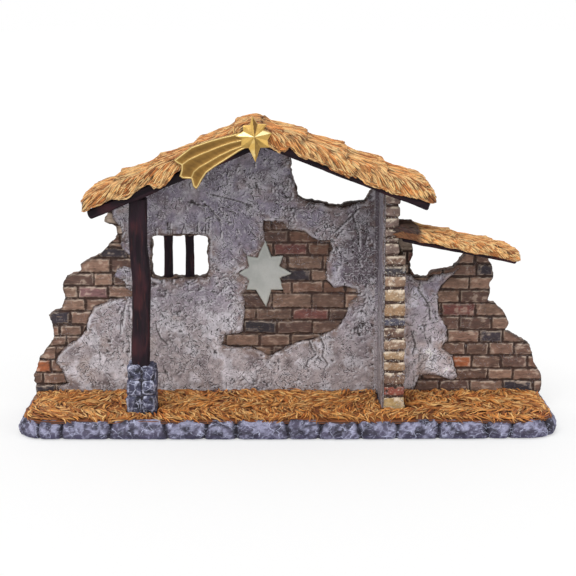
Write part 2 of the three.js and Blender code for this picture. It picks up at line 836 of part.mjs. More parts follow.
// Everything above the underside of the main roof's boards, less the seating gap
function aboveRoof() {
  const eaves = [leftEaveX - cutOverrun, rightEaveX + cutOverrun].map(underRoof);
  const top = ridgeHeight + 2 * thatchThickness;
  const outline = [eaves[0], underRoof(ridgeX), eaves[1], [eaves[1][0], top], [eaves[0][0], top]];
  return plateSolid(outline, -baseDepth, baseDepth);
}

function crossWallPlasterCoat() {
  const acrossY = [crossWallFrontY + crossWallPlasterSetback, wallMortarY - clearance];
  const upTo = ridgeHeight;
  return boxBetween([crossWallPlasterX, crossWallLeftX], acrossY, [baseTopZ, upTo]).subtract(aboveRoof());
}

// Wood and its waver: a beam's outline wanders by a small amount at each station

// The eave end, at fromX, is cut square to the slope.
function rafterOutline(fromX, toX, undersideZ, height, seed) {
  const count = 6;
  const slope = (undersideZ(toX) - undersideZ(fromX)) / (toX - fromX);
  const squareCut = (height * slope) / (1 + slope ** 2);
  const low = [];
  const high = [];
  for (let k = 0; k <= count; k++) {
    const lowX = mix(fromX + squareCut, toX, k / count);
    const highX = mix(fromX, toX, k / count);
    low.push([lowX, undersideZ(lowX) - height + rafterWaver * swing(k, seed)]);
    high.push([highX, undersideZ(highX) - clearance]);
  }
  return [...low, ...high.reverse()];
}

function frontRafter(eaveX, gapSide, seed) {
  const innerX = ridgeX + (gapSide * clearance) / 2;
  const outline = rafterOutline(eaveX, innerX, roofUndersideZ, rafterHeight, seed);
  const rafter = plateSolid(outline, roofFrontY, roofFrontY + rafterDepth);
  return cometPins(clearance).reduce((rest, pin) => rest.subtract(pin), rafter);
}

function roofBoards(eaveX, gapSide) {
  const innerX = ridgeX + (gapSide * clearance) / 2;
  const outline = [
    [eaveX, roofUndersideZ(eaveX)],
    [innerX, roofUndersideZ(innerX)],
    [innerX, roofUndersideZ(innerX) + boardThickness],
    [eaveX, roofUndersideZ(eaveX) + boardThickness],
  ];
  return plateSolid(outline, roofFrontY, roofBackY);
}

// The post's worn corners, in shares of its half width and half depth
const postCornerShares = [
  [-1, -0.7], [-0.7, -1], [0.7, -1], [1, -0.7], [1, 0.7], [0.7, 1], [-0.7, 1], [-1, 0.7],
];

function woodPost() {
  const levels = 7;
  const bottomZ = baseTopZ + footingHeight - postSocketDepth;
  const loops = [];
  for (let level = 0; level <= levels; level++) {
    const z = mix(bottomZ, ridgeHeight, level / levels);
    const driftX = level ? postWaver * swing(level, 3) : 0;
    loops.push(
      postCornerShares.map(([acrossShare, deepShare], k) => [
        postX + driftX + acrossShare * (postWidth / 2 + (level ? postWaver * swing(level, k) : 0)),
        postY + (deepShare * postDepth) / 2,
        z,
      ]),
    );
  }
  const seatHeight = rafterHeight + rafterWaver + clearance;
  const seatOutline = rafterOutline(leftEaveX, ridgeX, roofUndersideZ, seatHeight, 0);
  const seat = plateSolid(seatOutline, roofFrontY - cutOverrun, roofFrontY + rafterDepth + clearance);
  return closedLoft(loops).subtract(aboveRoof()).subtract(seat);
}

// Rounded stone: a sphere squared up and roughened. The shares are places in the footing.
const boulderSquarenessShare = 0.5;
const footingStoneShares = [
  [[0, 0.52], [0, 1], [0, 0.3]],
  [[0.48, 1], [0, 1], [0, 0.36]],
  [[0, 0.6], [0.02, 0.98], [0.28, 0.68]],
  [[0.56, 0.99], [0.03, 1], [0.34, 0.64]],
  [[0.02, 0.5], [0.04, 1], [0.66, 0.98]],
  [[0.46, 0.98], [0, 0.97], [0.62, 1]],
];
const footingCoreShares = [[0.12, 0.88], [0.12, 0.88], [0, 0.94]];

function boulder(ranges, seed) {
  const geometry = new THREE.SphereGeometry(1, boulderSides, boulderRings);
  geometry.deleteAttribute('normal');
  geometry.deleteAttribute('uv');
  const merged = mergeVertices(geometry);
  const position = merged.attributes.position;
  const vertex = new THREE.Vector3();
  for (let i = 0; i < position.count; i++) {
    vertex.fromBufferAttribute(position, i);
    const places = vertex.toArray().map((value, axis) => {
      const [low, high] = ranges[axis];
      const squared = Math.sign(value) * Math.abs(value) ** boulderSquarenessShare;
      const rough = footingStoneWaver * chance(i + seed, axis) * -Math.sign(value);
      return (low + high) / 2 + (squared * (high - low)) / 2 + rough;
    });
    position.setXYZ(i, ...places);
  }
  return solidOf(merged);
}

// A box in the footing, from the shares of its width, depth and height
function footingRanges(shares) {
  const low = [footingX - footingWidth / 2, footingY - footingDepth / 2, baseTopZ];
  const size = [footingWidth, footingDepth, footingHeight];
  return shares.map(([from, to], axis) => [from, to].map((share) => low[axis] + share * size[axis]));
}

function postFooting() {
  const stones = footingStoneShares.map((shares, seed) => boulder(footingRanges(shares), seed));
  const core = footingRanges(footingCoreShares);
  const halfX = postWidth / 2 + clearance;
  const halfY = postDepth / 2 + clearance;
  const top = baseTopZ + footingHeight;
  const socketZ = [top - postSocketDepth, top + cutOverrun];
  const socket = boxBetween([postX - halfX, postX + halfX], [postY - halfY, postY + halfY], socketZ);
  const floor = boxBetween([-baseLength, baseLength], [-baseDepth, baseDepth], [-baseDepth, baseTopZ]);
  return joined([boxBetween(...core), ...stones]).subtract(socket).subtract(floor);
}

// Thatch: each station across the roof is a closed outline that wraps the boards at the front and back

const thatchCourseWanderShare = 0.14;
const leftCourseStartShare = 0.64;
const rightCourseStartShare = 0.07;
const leanToCourseStartShare = 0.4;
const endRiseShares = [0.5, 0.8, 0.9];
const lipHeightShares = [0.35, 0.8];
const endLipShares = [0.3, 0.35, 0.6];
const lipWanderShare = 0.2;
const backHeightShare = 0.45;

// Thatch lies in courses down the slope. Each one thickens down to its lower edge, which laps over the next.
function courseHeight(distance, startShare, row, rise, seed) {
  const wander = thatchCourseWanderShare * swing(row, seed);
  const place = distance / thatchCourseLength - startShare + wander;
  return rise * (place - Math.floor(place)) - rise / 2;
}

function thatchSolid(roof) {
  const { eaveX, innerX, frontY, backY, undersideZ, boards, thickness } = roof;
  const { lip, lipDrop, tuft, lump, courseRise, courseStart, overhang, fall, seed } = roof;
  const rows = Math.round((backY - frontY) / thatchRowPitch);
  const outward = Math.sign(eaveX - innerX);
  const outerX = eaveX + outward * overhang;
  const beyondX = eaveX + outward * clearance;
  const stations = Math.round(Math.abs(eaveX - innerX) / thatchStationLength);
  const places = [[outerX, true], [beyondX, true]];
  for (let k = 0; k <= stations; k++) places.push([mix(eaveX, innerX, k / stations), false]);
  const loops = places.map(([x, isPastBoards], k) => {
    const under = undersideZ(x);
    const full = thickness(x);
    const deep = isPastBoards ? -lipDrop / 2 : boards + clearance;
    const level = under + boards + full * (endRiseShares[k] ?? 1);
    const topAt = (row) => {
      const rise = k ? courseRise : 0;
      const course = courseHeight(Math.abs(x - innerX), courseStart, row, rise, seed);
      return level + course + lump * swing(k, seed + row);
    };
    const top = topAt(0);
    const tuftDrop = tuft * chance(k, seed);
    const wander = lip * lipWanderShare * chance(k, seed + 1);
    const innerFront = frontY - clearance;
    const innerBack = backY + clearance;
    const outerBack = innerBack + lip / 2;
    const lipZ = under - (lipDrop + tuftDrop) * (endLipShares[k] ?? 1);
    const loop = [
      [x, innerBack, under - thatchBackDrop],
      [x, innerBack, under + deep],
      [x, innerFront, under + deep],
      [x, innerFront, lipZ + tuft / 2],
      [x, innerFront - lip / 2, lipZ],
      [x, innerFront - lip + wander, mix(lipZ, top, lipHeightShares[0])],
      [x, innerFront - lip + lip * lipWanderShare, mix(lipZ, top, lipHeightShares[1])],
      ...[...Array(rows).keys()].map((row) => {
        return [x, mix(frontY, backY, (row + 1 / 2) / rows), topAt(row)];
      }),
      [x, innerBack, topAt(rows - 1) - lip / 2],
      [x, outerBack, mix(under, top, backHeightShare)],
      [x, outerBack - clearance, under - thatchBackDrop],
    ];
    return loop.map(([pointX, y, z]) => [pointX, y, z - fall(y)]);
  });
  return closedLoft(loops, [1, 2]);
}

function mainThatchThickness(x) {
  const away = Math.abs(x - thatchCrownX);
  const spread = x < thatchCrownX ? thatchCrownLeftSpread : thatchCrownRightSpread;
  return thatchThickness + thatchCrown * Math.max(0, 1 - away / spread);
}

function mainThatch(eaveX, gapSide, seed) {
  const thatch = thatchSolid({
    eaveX,
    innerX: ridgeX + (gapSide * clearance) / 2,
    frontY: roofFrontY,
    backY: roofBackY,
    undersideZ: roofUndersideZ,
    boards: boardThickness,
    thickness: mainThatchThickness,
    lip: thatchLip,
    lipDrop: thatchLipDrop,
    tuft: thatchTuft,
    lump: thatchLump,
    courseRise: thatchCourseRise,
    courseStart: gapSide < 0 ? leftCourseStartShare : rightCourseStartShare,
    overhang: thatchEndOverhang,
    fall: () => 0,
    seed,
  });
  return cometPins(clearance).reduce((rest, pin) => rest.subtract(pin), thatch);
}

// Lean-to roof

function leanToRafter() {
  const backY = leanToFrontY + leanToRafterDepth;
  const undersideZ = (x) => leanToUndersideZ(x) - leanToFall(backY);
  const outline = rafterOutline(leanToRightX, leanToLeftX, undersideZ, leanToRafterHeight, 5);
  return plateSolid(outline, leanToFrontY, backY);
}

function leanToBoards() {
  const loops = [leanToFrontY, leanToBackY].map((y) => {
    const leftZ = leanToLeftHeight - leanToFall(y);
    const rightZ = leanToRightHeight - leanToFall(y);
    return [
      [leanToLeftX, y, leftZ],
      [leanToRightX, y, rightZ],
      [leanToRightX, y, rightZ + leanToBoardThickness],
      [leanToLeftX, y, leftZ + leanToBoardThickness],
    ];
  });
  return closedLoft(loops, [0, 2]);
}

function leanToThatch() {
  return thatchSolid({
    eaveX: leanToRightX,
    innerX: leanToLeftX,
    frontY: leanToFrontY,
    backY: leanToBackY,
    undersideZ: leanToUndersideZ,
    boards: leanToBoardThickness,
    thickness: (x) => {
      const share = (x - leanToLeftX) / (leanToRightX - leanToLeftX);
      return mix(leanToThatchLeft, leanToThatchRight, share);
    },
    lip: leanToLip,
    lipDrop: leanToLipDrop,
    tuft: leanToTuft,
    lump: leanToLump,
    courseRise: leanToCourseRise,
    courseStart: leanToCourseStartShare,
    overhang: leanToEndOverhang,
    fall: leanToFall,
    seed: 40,
  });
}

// Comet, drawn about the centre of its star, with its back at Y zero

// The star's tips and the notches between them, in turn, in shares of its reach
const cometStarShares = [
  [-0.09, 0.82], [0.12, 0.5], [0.47, 0.49], [0.34, 0.25], [0.67, 0.14], [0.5, -0.14], [0.57, -0.42],
  [0.22, -0.43], [0.03, -1], [-0.23, -0.45], [-0.53, -0.4], [-0.51, -0.1], [-0.76, 0.02],
  [-0.45, 0.21], [-0.45, 0.43], [-0.18, 0.47],
];
// The tail's outline and its four ribs, in shares of its length
const cometTailShares = [
  [-0.05, 0.05], [-0.19, 0.04], [-0.357, 0], [-0.505, -0.04], [-0.623, -0.08], [-0.722, -0.115],
  [-0.82, -0.19], [-0.924, -0.27], [-0.88, -0.305], [-0.835, -0.327], [-0.838, -0.385],
  [-0.858, -0.45], [-0.82, -0.477], [-0.724, -0.481], [-0.704, -0.565], [-0.668, -0.6],
  [-0.638, -0.565], [-0.603, -0.495], [-0.549, -0.415], [-0.46, -0.35], [-0.357, -0.285],
  [-0.263, -0.225], [-0.17, -0.165], [-0.066, -0.115],
];
const cometRibShares = [
  [[-0.13, 0.02], [-0.357, -0.018], [-0.505, -0.058], [-0.623, -0.098], [-0.722, -0.135],
    [-0.82, -0.207], [-0.9, -0.272]],
  [[-0.13, -0.04], [-0.268, -0.07], [-0.387, -0.11], [-0.485, -0.15], [-0.623, -0.205],
    [-0.751, -0.265], [-0.82, -0.318]],
  [[-0.12, -0.1], [-0.268, -0.155], [-0.406, -0.22], [-0.535, -0.295], [-0.633, -0.35],
    [-0.692, -0.4], [-0.722, -0.462]],
  [[-0.1, -0.1], [-0.175, -0.147], [-0.27, -0.207], [-0.365, -0.266], [-0.468, -0.331],
    [-0.562, -0.4], [-0.618, -0.485], [-0.666, -0.575]],
];
const cometPinShares = [[0, -0.35], [-1.58, -0.95]];

function cometStar() {
  const outline = cometStarShares.map(([x, z]) => [x * cometStarReach, z * cometStarReach]);
  const at = (share, y) => outline.map(([x, z]) => [x * share, y, z * share]);
  const crownShare = 0.02;
  return closedLoft([
    at(1, 0),
    at(1, -cometTailThickness - cometStarThickness),
    at(crownShare, -cometTailThickness - cometStarThickness - cometStarCrown),
  ]);
}

function cometRib(places) {
  const points = places.map(([x, z]) => new THREE.Vector2(x * cometTailLength, z * cometTailLength));
  const loops = points.map((point, k) => {
    const ahead = points[Math.min(k + 1, points.length - 1)].clone().sub(points[Math.max(k - 1, 0)]);
    const side = new THREE.Vector2(-ahead.y, ahead.x).setLength(cometRibWidth / 2);
    const low = -cometTailThickness + cometRibHeight;
    return [
      [point.x + side.x, low, point.y + side.y],
      [point.x, -cometTailThickness - cometRibHeight, point.y],
      [point.x - side.x, low, point.y - side.y],
    ];
  });
  return closedLoft(loops);
}

function cometPinsAtCentre(slack) {
  const reach = roofFrontY - cometBackY + cometPinDepth;
  return cometPinShares.map(([xShare, zShare]) => {
    const place = [cometStarReach * xShare, cometStarReach * zShare];
    const deep = [-cometTailThickness / 2, reach + slack];
    return barAlongY(cometPinDiameter / 2 + slack, place, deep, screwSides);
  });
}

// The comet's pins where they stand in the roof, with room round them
function cometPins(slack) {
  return cometPinsAtCentre(slack).map((pin) => pin.translate([cometX, cometBackY, cometZ]));
}

function comet() {
  const tail = cometTailShares.map(([x, z]) => [x * cometTailLength, z * cometTailLength]);
  const plate = plateSolid(tail, -cometTailThickness, 0);
  return joined([plate, cometStar(), ...cometRibShares.map(cometRib), ...cometPinsAtCentre(0)]);
}

// Light unit, drawn about the star window's centre with the wall's back face at Y zero

const bayLength = cellLength + springLength + 2 * contactThickness + 2 * cellClearance;
const bayHeight = 2 * cellDiameter + 3 * cellClearance;
const bayDepth = cellDiameter + 2 * cellClearance;
const chamberHalfHeight = starHalfHeight + lensFlangeLip + chamberMargin;
const housingHalfWidth = bayLength / 2 + housingWall;
const bayTopZ = -chamberHalfHeight - housingWall;
const bayBottomZ = bayTopZ - bayHeight;
const housingBottomZ = bayBottomZ - housingWall;
const housingTopZ = chamberHalfHeight + housingWall;
const grooveFrontY = housingFloor + bayDepth;
const grooveBackY = grooveFrontY + doorTongue + 2 * clearance;
const housingDepth = grooveBackY + doorLip;
const chamberBackY = housingDepth - housingWall;

function screwPlaces() {
  const x = housingHalfWidth + earWidth / 2;
  const low = housingBottomZ + earEdgeDistance;
  const high = housingTopZ - earEdgeDistance;
  return [[-x, low], [x, low], [x, high], [-x, high]];
}

function housingEar([x, z]) {
  const innerX = Math.sign(x) * (housingHalfWidth - housingWall / 2);
  const outerX = Math.sign(x) * (housingHalfWidth + earWidth);
  const acrossX = [Math.min(innerX, outerX), Math.max(innerX, outerX)];
  return boxBetween(acrossX, [0, earThickness], [z - earHeight / 2, z + earHeight / 2]);
}

function doorSlot(slack) {
  const leftX = -bayLength / 2 + clearance - slack;
  const rightX = housingHalfWidth + (slack ? cutOverrun : 0);
  const grooveInset = clearance - doorGrooveDepth - slack;
  const faceInset = clearance + doorFaceInset - slack;
  const grooveZ = [bayBottomZ + grooveInset, bayTopZ - grooveInset];
  const faceZ = [bayBottomZ + faceInset, bayTopZ - faceInset];
  const tongueY = [grooveFrontY + clearance - slack, grooveBackY - clearance + slack];
  const faceY = [grooveFrontY + clearance, housingDepth + (slack ? cutOverrun : 0)];
  return boxBetween([leftX, rightX], tongueY, grooveZ).add(boxBetween([leftX, rightX], faceY, faceZ));
}

function lightHousing() {
  const halfBay = bayLength / 2;
  const innerX = [-halfBay, halfBay];
  const outerX = [-housingHalfWidth, housingHalfWidth];
  const shell = boxBetween(outerX, [0, housingDepth], [housingBottomZ, housingTopZ]);
  const chamber = boxBetween(innerX, [-cutOverrun, chamberBackY], [-chamberHalfHeight, chamberHalfHeight]);
  const bay = boxBetween(innerX, [housingFloor, grooveFrontY + clearance], [bayBottomZ, bayTopZ]);
  const hollow = screwPlaces()
    .reduce((rest, place) => rest.add(housingEar(place)), shell)
    .subtract(chamber)
    .subtract(bay)
    .subtract(doorSlot(clearance))
    .subtract(switchSlot());
  const boreRadius = screwDiameter / 2 + screwHoleSlack;
  const bored = screwPlaces().reduce((rest, place) => {
    return rest.subtract(barAlongY(boreRadius, place, [-cutOverrun, housingDepth], screwSides));
  }, hollow);
  return ledBosses().reduce((rest, boss) => rest.add(boss), bored);
}

function switchSlot() {
  const halfWidth = (switchKnobWidth + switchTravel) / 2 + clearance;
  const halfHeight = switchKnobHeight / 2 + clearance;
  const deep = [chamberBackY - cutOverrun / 2, housingDepth + cutOverrun];
  const upZ = [switchZ - halfHeight, switchZ + halfHeight];
  return boxBetween([switchX - halfWidth, switchX + halfWidth], deep, upZ);
}

function ledBosses() {
  const x = ledBoardWidth / 2 - ledBossWidth;
  const half = ledBossWidth / 2;
  const deep = [chamberBackY - ledBossHeight, chamberBackY + housingWall / 2];
  return [-x, x].map((middle) => boxBetween([middle - half, middle + half], deep, [-half, half]));
}

function batteryDoor() {
  const middle = (bayBottomZ + bayTopZ) / 2;
  const half = doorGripLength / 2;
  const grips = [-1, 0, 1].map((step) => {
    const x = bayLength / 4 + step * doorGripPitch;
    const across = [x - doorGripWidth / 2, x + doorGripWidth / 2];
    return boxBetween(across, [grooveBackY, housingDepth + doorGripHeight], [middle - half, middle + half]);
  });
  return joined([doorSlot(0), ...grips]);
}

function cellCentres() {
  const first = bayBottomZ + cellClearance + cellDiameter / 2;
  return [first, first + cellDiameter + cellClearance];
}

// A cell lies along X; facing is +1 where its cap points right
function cell(z, facing) {
  const y = housingFloor + cellClearance + cellDiameter / 2;
  const radius = cellDiameter / 2;
  const body = cellLength - cellCapHeight;
  const profile = [
    [0, 0],
    [radius, 0],
    [radius, body],
    [cellCapDiameter / 2, body],
    [cellCapDiameter / 2, cellLength],
    [0, cellLength],
  ].map(([r, along]) => new THREE.Vector2(r, along));
  const geometry = new THREE.LatheGeometry(profile, roundSides);
  geometry.rotateZ((-facing * Math.PI) / 2);
  const capX = facing * (bayLength / 2 - contactThickness - cellClearance);
  geometry.translate(capX - facing * cellLength, y, z);
  return solidOf(geometry);
}

function contactPlate(z, facing) {
  const outerX = (facing * bayLength) / 2;
  const innerX = outerX - facing * contactThickness;
  const y = housingFloor + cellClearance + cellDiameter / 2;
  const half = contactWidth / 2;
  const acrossX = [Math.min(outerX, innerX), Math.max(outerX, innerX)];
  return boxBetween(acrossX, [y - half, y + half], [z - half, z + half]);
}

// How far a contact spring narrows towards the cell
const springTipShare = 0.6;

function contactSpring(z, facing) {
  const y = housingFloor + cellClearance + cellDiameter / 2;
  const startX = -facing * (bayLength / 2 - contactThickness - clearance - springWire / 2);
  const run = springLength - cellClearance - clearance - springWire;
  const steps = springTurns * springStepsPerTurn;
  const points = [];
  for (let step = 0; step <= steps; step++) {
    const share = step / steps;
    const angle = share * springTurns * 2 * Math.PI;
    const radius = springRadius * mix(1, springTipShare, share);
    const x = startX + facing * run * share;
    points.push(new THREE.Vector3(x, y + radius * Math.cos(angle), z + radius * Math.sin(angle)));
  }
  const section = new THREE.Shape();
  for (let side = 0; side < springSides; side++) {
    const angle = (side / springSides) * 2 * Math.PI;
    const corner = [(springWire / 2) * Math.cos(angle), (springWire / 2) * Math.sin(angle)];
    if (side) section.lineTo(...corner);
    else section.moveTo(...corner);
  }
  const extrudePath = new THREE.CatmullRomCurve3(points);
  return solidOf(new THREE.ExtrudeGeometry(section, { steps, extrudePath, bevelEnabled: false }));
}

function ledBoard() {
  const backY = chamberBackY - ledBossHeight;
  const halfWidth = ledBoardWidth / 2;
  const halfHeight = ledBoardHeight / 2;
  return boxBetween([-halfWidth, halfWidth], [backY - ledBoardThickness, backY], [-halfHeight, halfHeight]);
}

function led(x) {
  const radius = ledDiameter / 2;
  const straight = ledLength - radius;
  const profile = [new THREE.Vector2(0, 0), new THREE.Vector2(radius, 0)];
  const arcSteps = 4;
  for (let k = 0; k <= arcSteps; k++) {
    const angle = (k / arcSteps) * (Math.PI / 2);
    const r = k === arcSteps ? 0 : radius * Math.cos(angle);
    profile.push(new THREE.Vector2(r, straight + radius * Math.sin(angle)));
  }
  const geometry = new THREE.LatheGeometry(profile, roundSides);
  geometry.rotateX(Math.PI);
  geometry.translate(x, chamberBackY - ledBossHeight - ledBoardThickness, 0);
  return solidOf(geometry);
}

function housingScrew([x, z]) {
  const headY = [earThickness, earThickness + screwHeadHeight];
  const shankY = [earThickness - screwLength, earThickness + screwHeadHeight / 2];
  const head = barAlongY(screwHeadDiameter / 2, [x, z], headY, screwSides);
  const half = screwRecessWidth / 2;
  const reach = screwHeadDiameter / 3;
  const recessY = [headY[1] - screwRecessDepth, headY[1] + cutOverrun];
  const recesses = [
    boxBetween([x - half, x + half], recessY, [z - reach, z + reach]),
    boxBetween([x - reach, x + reach], recessY, [z - half, z + half]),
  ];
  const screw = head.add(barAlongY(screwDiameter / 2, [x, z], shankY, screwSides));
  return recesses.reduce((rest, recess) => rest.subtract(recess), screw);
}

function switchSliderAt(x) {
  const flangeY = [chamberBackY - clearance - switchFlangeThickness, chamberBackY - clearance];
  const half = (width) => width / 2;
  const flange = boxBetween(
    [x - half(switchFlangeWidth), x + half(switchFlangeWidth)],
    flangeY,
    [switchZ - half(switchFlangeHeight), switchZ + half(switchFlangeHeight)],
  );
  const knob = boxBetween(
    [x - half(switchKnobWidth), x + half(switchKnobWidth)],
    [flangeY[0], housingDepth + switchKnobProud],
    [switchZ - half(switchKnobHeight), switchZ + half(switchKnobHeight)],
  );
  return flange.add(knob);
}

function switchBody() {
  const innerHalf = switchFlangeWidth / 2 + switchTravel / 2 + clearance;
  const outerHalf = innerHalf + switchBodyWall;
  const backY = chamberBackY;
  const seatY = backY - switchFlangeThickness - 2 * clearance;
  const frontY = seatY - switchBodyThickness;
  const halfHeight = switchFlangeHeight / 2;
  const upZ = [switchZ - halfHeight, switchZ + halfHeight];
  const block = boxBetween([switchX - outerHalf, switchX + outerHalf], [frontY, backY], upZ);
  const seatZ = [upZ[0] - cutOverrun, upZ[1] + cutOverrun];
  const seatX = [switchX - innerHalf, switchX + innerHalf];
  return block.subtract(boxBetween(seatX, [seatY, backY + cutOverrun], seatZ));
}

function starLens() {
  const frontY = wallFrontY + lensSetback - wallBackY;
  return plateSolid(starOutline(0), frontY, lensFlangeThickness).add(
    plateSolid(starOutline(lensFlangeLip), 0, lensFlangeThickness),
  );
}

// Materials, by what each piece is painted as or made of

function finish(color, roughness, metalness = 0) {
  return () => new THREE.MeshStandardMaterial({ color, roughness, metalness });
}

const paintedStone = finish(0x6f6d78, 0.75);
const strawPaint = finish(0xa4703f, 0.8);
const brickPaint = finish(0x8a7262, 0.85);
const plasterPaint = finish(0x9a9094, 0.85);
const woodPaint = finish(0x4a3a30, 0.8);
const thatchPaint = finish(0xc8925c, 0.85);
const giltPaint = finish(0xb58e48, 0.4, 0.3);
const frostedPlastic = finish(0xb4baa8, 0.45);
const whitePlastic = finish(0xdedbd2, 0.5);
const blackPlastic = finish(0x1d1d1f, 0.5);
const springSteel = finish(0xb9babd, 0.35, 0.9);
const cellJacket = finish(0x3c6e4b, 0.4, 0.2);
const boardGreen = finish(0x2e5c3c, 0.5);
const ledResin = finish(0xf2ead0, 0.2);
const padFoam = finish(0x35343a, 0.9);

function mesh(name, solid, material) {
  const piece = new THREE.Mesh(geometryOf(solid), material());
  piece.name = name;
  return piece;
}

function groupOf(meshes, place = [0, 0, 0]) {
  const group = new THREE.Group();
  group.add(...meshes);
  group.position.set(...place);
  return group;
}

function baseGroup() {
  const pads = padPlaces().map((place, k) => mesh(`foot_pad_${k + 1}`, footPad(place), padFoam));
  return groupOf([
    mesh('base_slab', baseSlab(), paintedStone),
    mesh('straw_floor', strawFloor(), strawPaint),
    mesh('straw_strip_behind', strawStrip(), strawPaint),
    ...pads,
  ]);
}

function wallGroup() {
  const mainCoat = mainPlaster();
  const leanToCoat = leanToPlaster();
  const [leftBarX, rightBarX] = barPlaces();
  return groupOf([
    mesh('main_wall', mainWall(mainCoat), brickPaint),
    mesh('main_wall_plaster', mainCoat, plasterPaint),
    mesh('lean_to_wall', leanToWall(leanToCoat), brickPaint),
    mesh('lean_to_wall_plaster', leanToCoat, plasterPaint),
    mesh('cross_wall', crossWall(), brickPaint),
    mesh('cross_wall_plaster', crossWallPlasterCoat(), plasterPaint),
    mesh('window_bar_left', windowBar(leftBarX), woodPaint),
    mesh('window_bar_right', windowBar(rightBarX), woodPaint),
    mesh('wood_post', woodPost(), woodPaint),
    mesh('post_footing', postFooting(), paintedStone),
  ]);
}

function roofGroup() {
  return groupOf([
    mesh('front_rafter_left', frontRafter(leftEaveX, -1, 0), woodPaint),
    mesh('front_rafter_right', frontRafter(rightEaveX, 1, 1), woodPaint),
    mesh('roof_boards_left', roofBoards(leftEaveX, -1), woodPaint),
    mesh('roof_boards_right', roofBoards(rightEaveX, 1), woodPaint),
    mesh('thatch_left', mainThatch(leftEaveX, -1, 10), thatchPaint),
    mesh('thatch_right', mainThatch(rightEaveX, 1, 20), thatchPaint),
  ]);
}

function leanToGroup() {
  return groupOf([
    mesh('lean_to_rafter', leanToRafter(), woodPaint),
    mesh('lean_to_boards', leanToBoards(), woodPaint),
    mesh('lean_to_thatch', leanToThatch(), thatchPaint),
  ]);
}

function lightGroup() {
  const [lowCell, highCell] = cellCentres();
  const screws = screwPlaces().map((place, k) => {
    return mesh(`housing_screw_${k + 1}`, housingScrew(place), springSteel);
  });
  const meshes = [
    mesh('star_lens', starLens(), frostedPlastic),
    mesh('light_housing', lightHousing(), whitePlastic),
    mesh('battery_door', batteryDoor(), whitePlastic),
    mesh('cell_lower', cell(lowCell, 1), cellJacket),
    mesh('cell_upper', cell(highCell, -1), cellJacket),
    mesh('contact_plate_lower', contactPlate(lowCell, 1), springSteel),
    mesh('contact_plate_upper', contactPlate(highCell, -1), springSteel),
    mesh('contact_spring_lower', contactSpring(lowCell, 1), springSteel),
    mesh('contact_spring_upper', contactSpring(highCell, -1), springSteel),
    mesh('led_board', ledBoard(), boardGreen),
    mesh('led_left', led(-ledSpacing / 2), ledResin),
    mesh('led_right', led(ledSpacing / 2), ledResin),
    mesh('switch_body', switchBody(), blackPlastic),
    mesh('switch_slider', switchSliderAt(switchX - switchTravel / 2), blackPlastic),
    ...screws,
  ];
  return groupOf(meshes, [starCentreX, wallBackY, starCentreZ]);
}

const stable = new THREE.Group();
stable.add(baseGroup(), wallGroup(), roofGroup(), leanToGroup(), lightGroup());
stable.add(groupOf([mesh('comet', comet(), giltPaint)], [cometX, cometBackY, cometZ]));

export default stable;
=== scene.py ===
"""The looks of the nativity stable: painted stone resin, thatch and straw, built over its CAD frame.

Sizes and places are in millimetres, in the CAD frame: X along the stable, Y back, Z up.
Each piece is a mesh with a colour at every vertex, laid like hand paint, under a fine-grained shader.
"""

import math

import bmesh
import bpy
import numpy as np
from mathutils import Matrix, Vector
from mathutils.bvhtree import BVHTree


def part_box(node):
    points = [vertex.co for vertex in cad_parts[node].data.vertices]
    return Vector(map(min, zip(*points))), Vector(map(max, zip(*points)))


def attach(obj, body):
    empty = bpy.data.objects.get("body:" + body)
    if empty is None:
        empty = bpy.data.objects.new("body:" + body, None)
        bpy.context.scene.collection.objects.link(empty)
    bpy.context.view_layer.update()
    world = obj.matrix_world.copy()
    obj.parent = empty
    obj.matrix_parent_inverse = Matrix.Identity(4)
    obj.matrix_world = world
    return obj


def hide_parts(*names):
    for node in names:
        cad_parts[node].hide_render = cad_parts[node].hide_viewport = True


MM = 0.001

# Camera, as the photograph was taken
CAMERA_DISTANCE = 1100.0
CAMERA_HEIGHT = 288.13
CAMERA_TILT = 9.819
FOCAL_PIXELS = 1543.4
PHOTO_PIXELS = 576
SENSOR_WIDTH = 36.0

# Seeds
PLASTER_SEED = 11
BRICK_SEED = 23
STONE_SEED = 31
WOOD_SEED = 47
THATCH_SEED = 59
STRAW_SEED = 71
METAL_SEED = 83
MASONRY_SEED = 97

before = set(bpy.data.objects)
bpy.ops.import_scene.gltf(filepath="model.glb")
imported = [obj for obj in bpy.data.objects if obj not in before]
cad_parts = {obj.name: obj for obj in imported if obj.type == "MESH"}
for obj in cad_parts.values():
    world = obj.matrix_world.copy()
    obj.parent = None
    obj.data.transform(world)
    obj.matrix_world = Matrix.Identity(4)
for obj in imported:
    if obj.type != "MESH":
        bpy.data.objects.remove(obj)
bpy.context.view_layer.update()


# Frame readings

def span(node):
    """The lowest and highest corners of a CAD node, in millimetres."""
    low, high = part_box(node)
    return np.array(low) / MM, np.array(high) / MM


def corner_points(mesh):
    """A mesh's vertices, in millimetres."""
    spots = np.zeros(len(mesh.vertices) * 3)
    mesh.vertices.foreach_get("co", spots)
    return spots.reshape(-1, 3) / MM


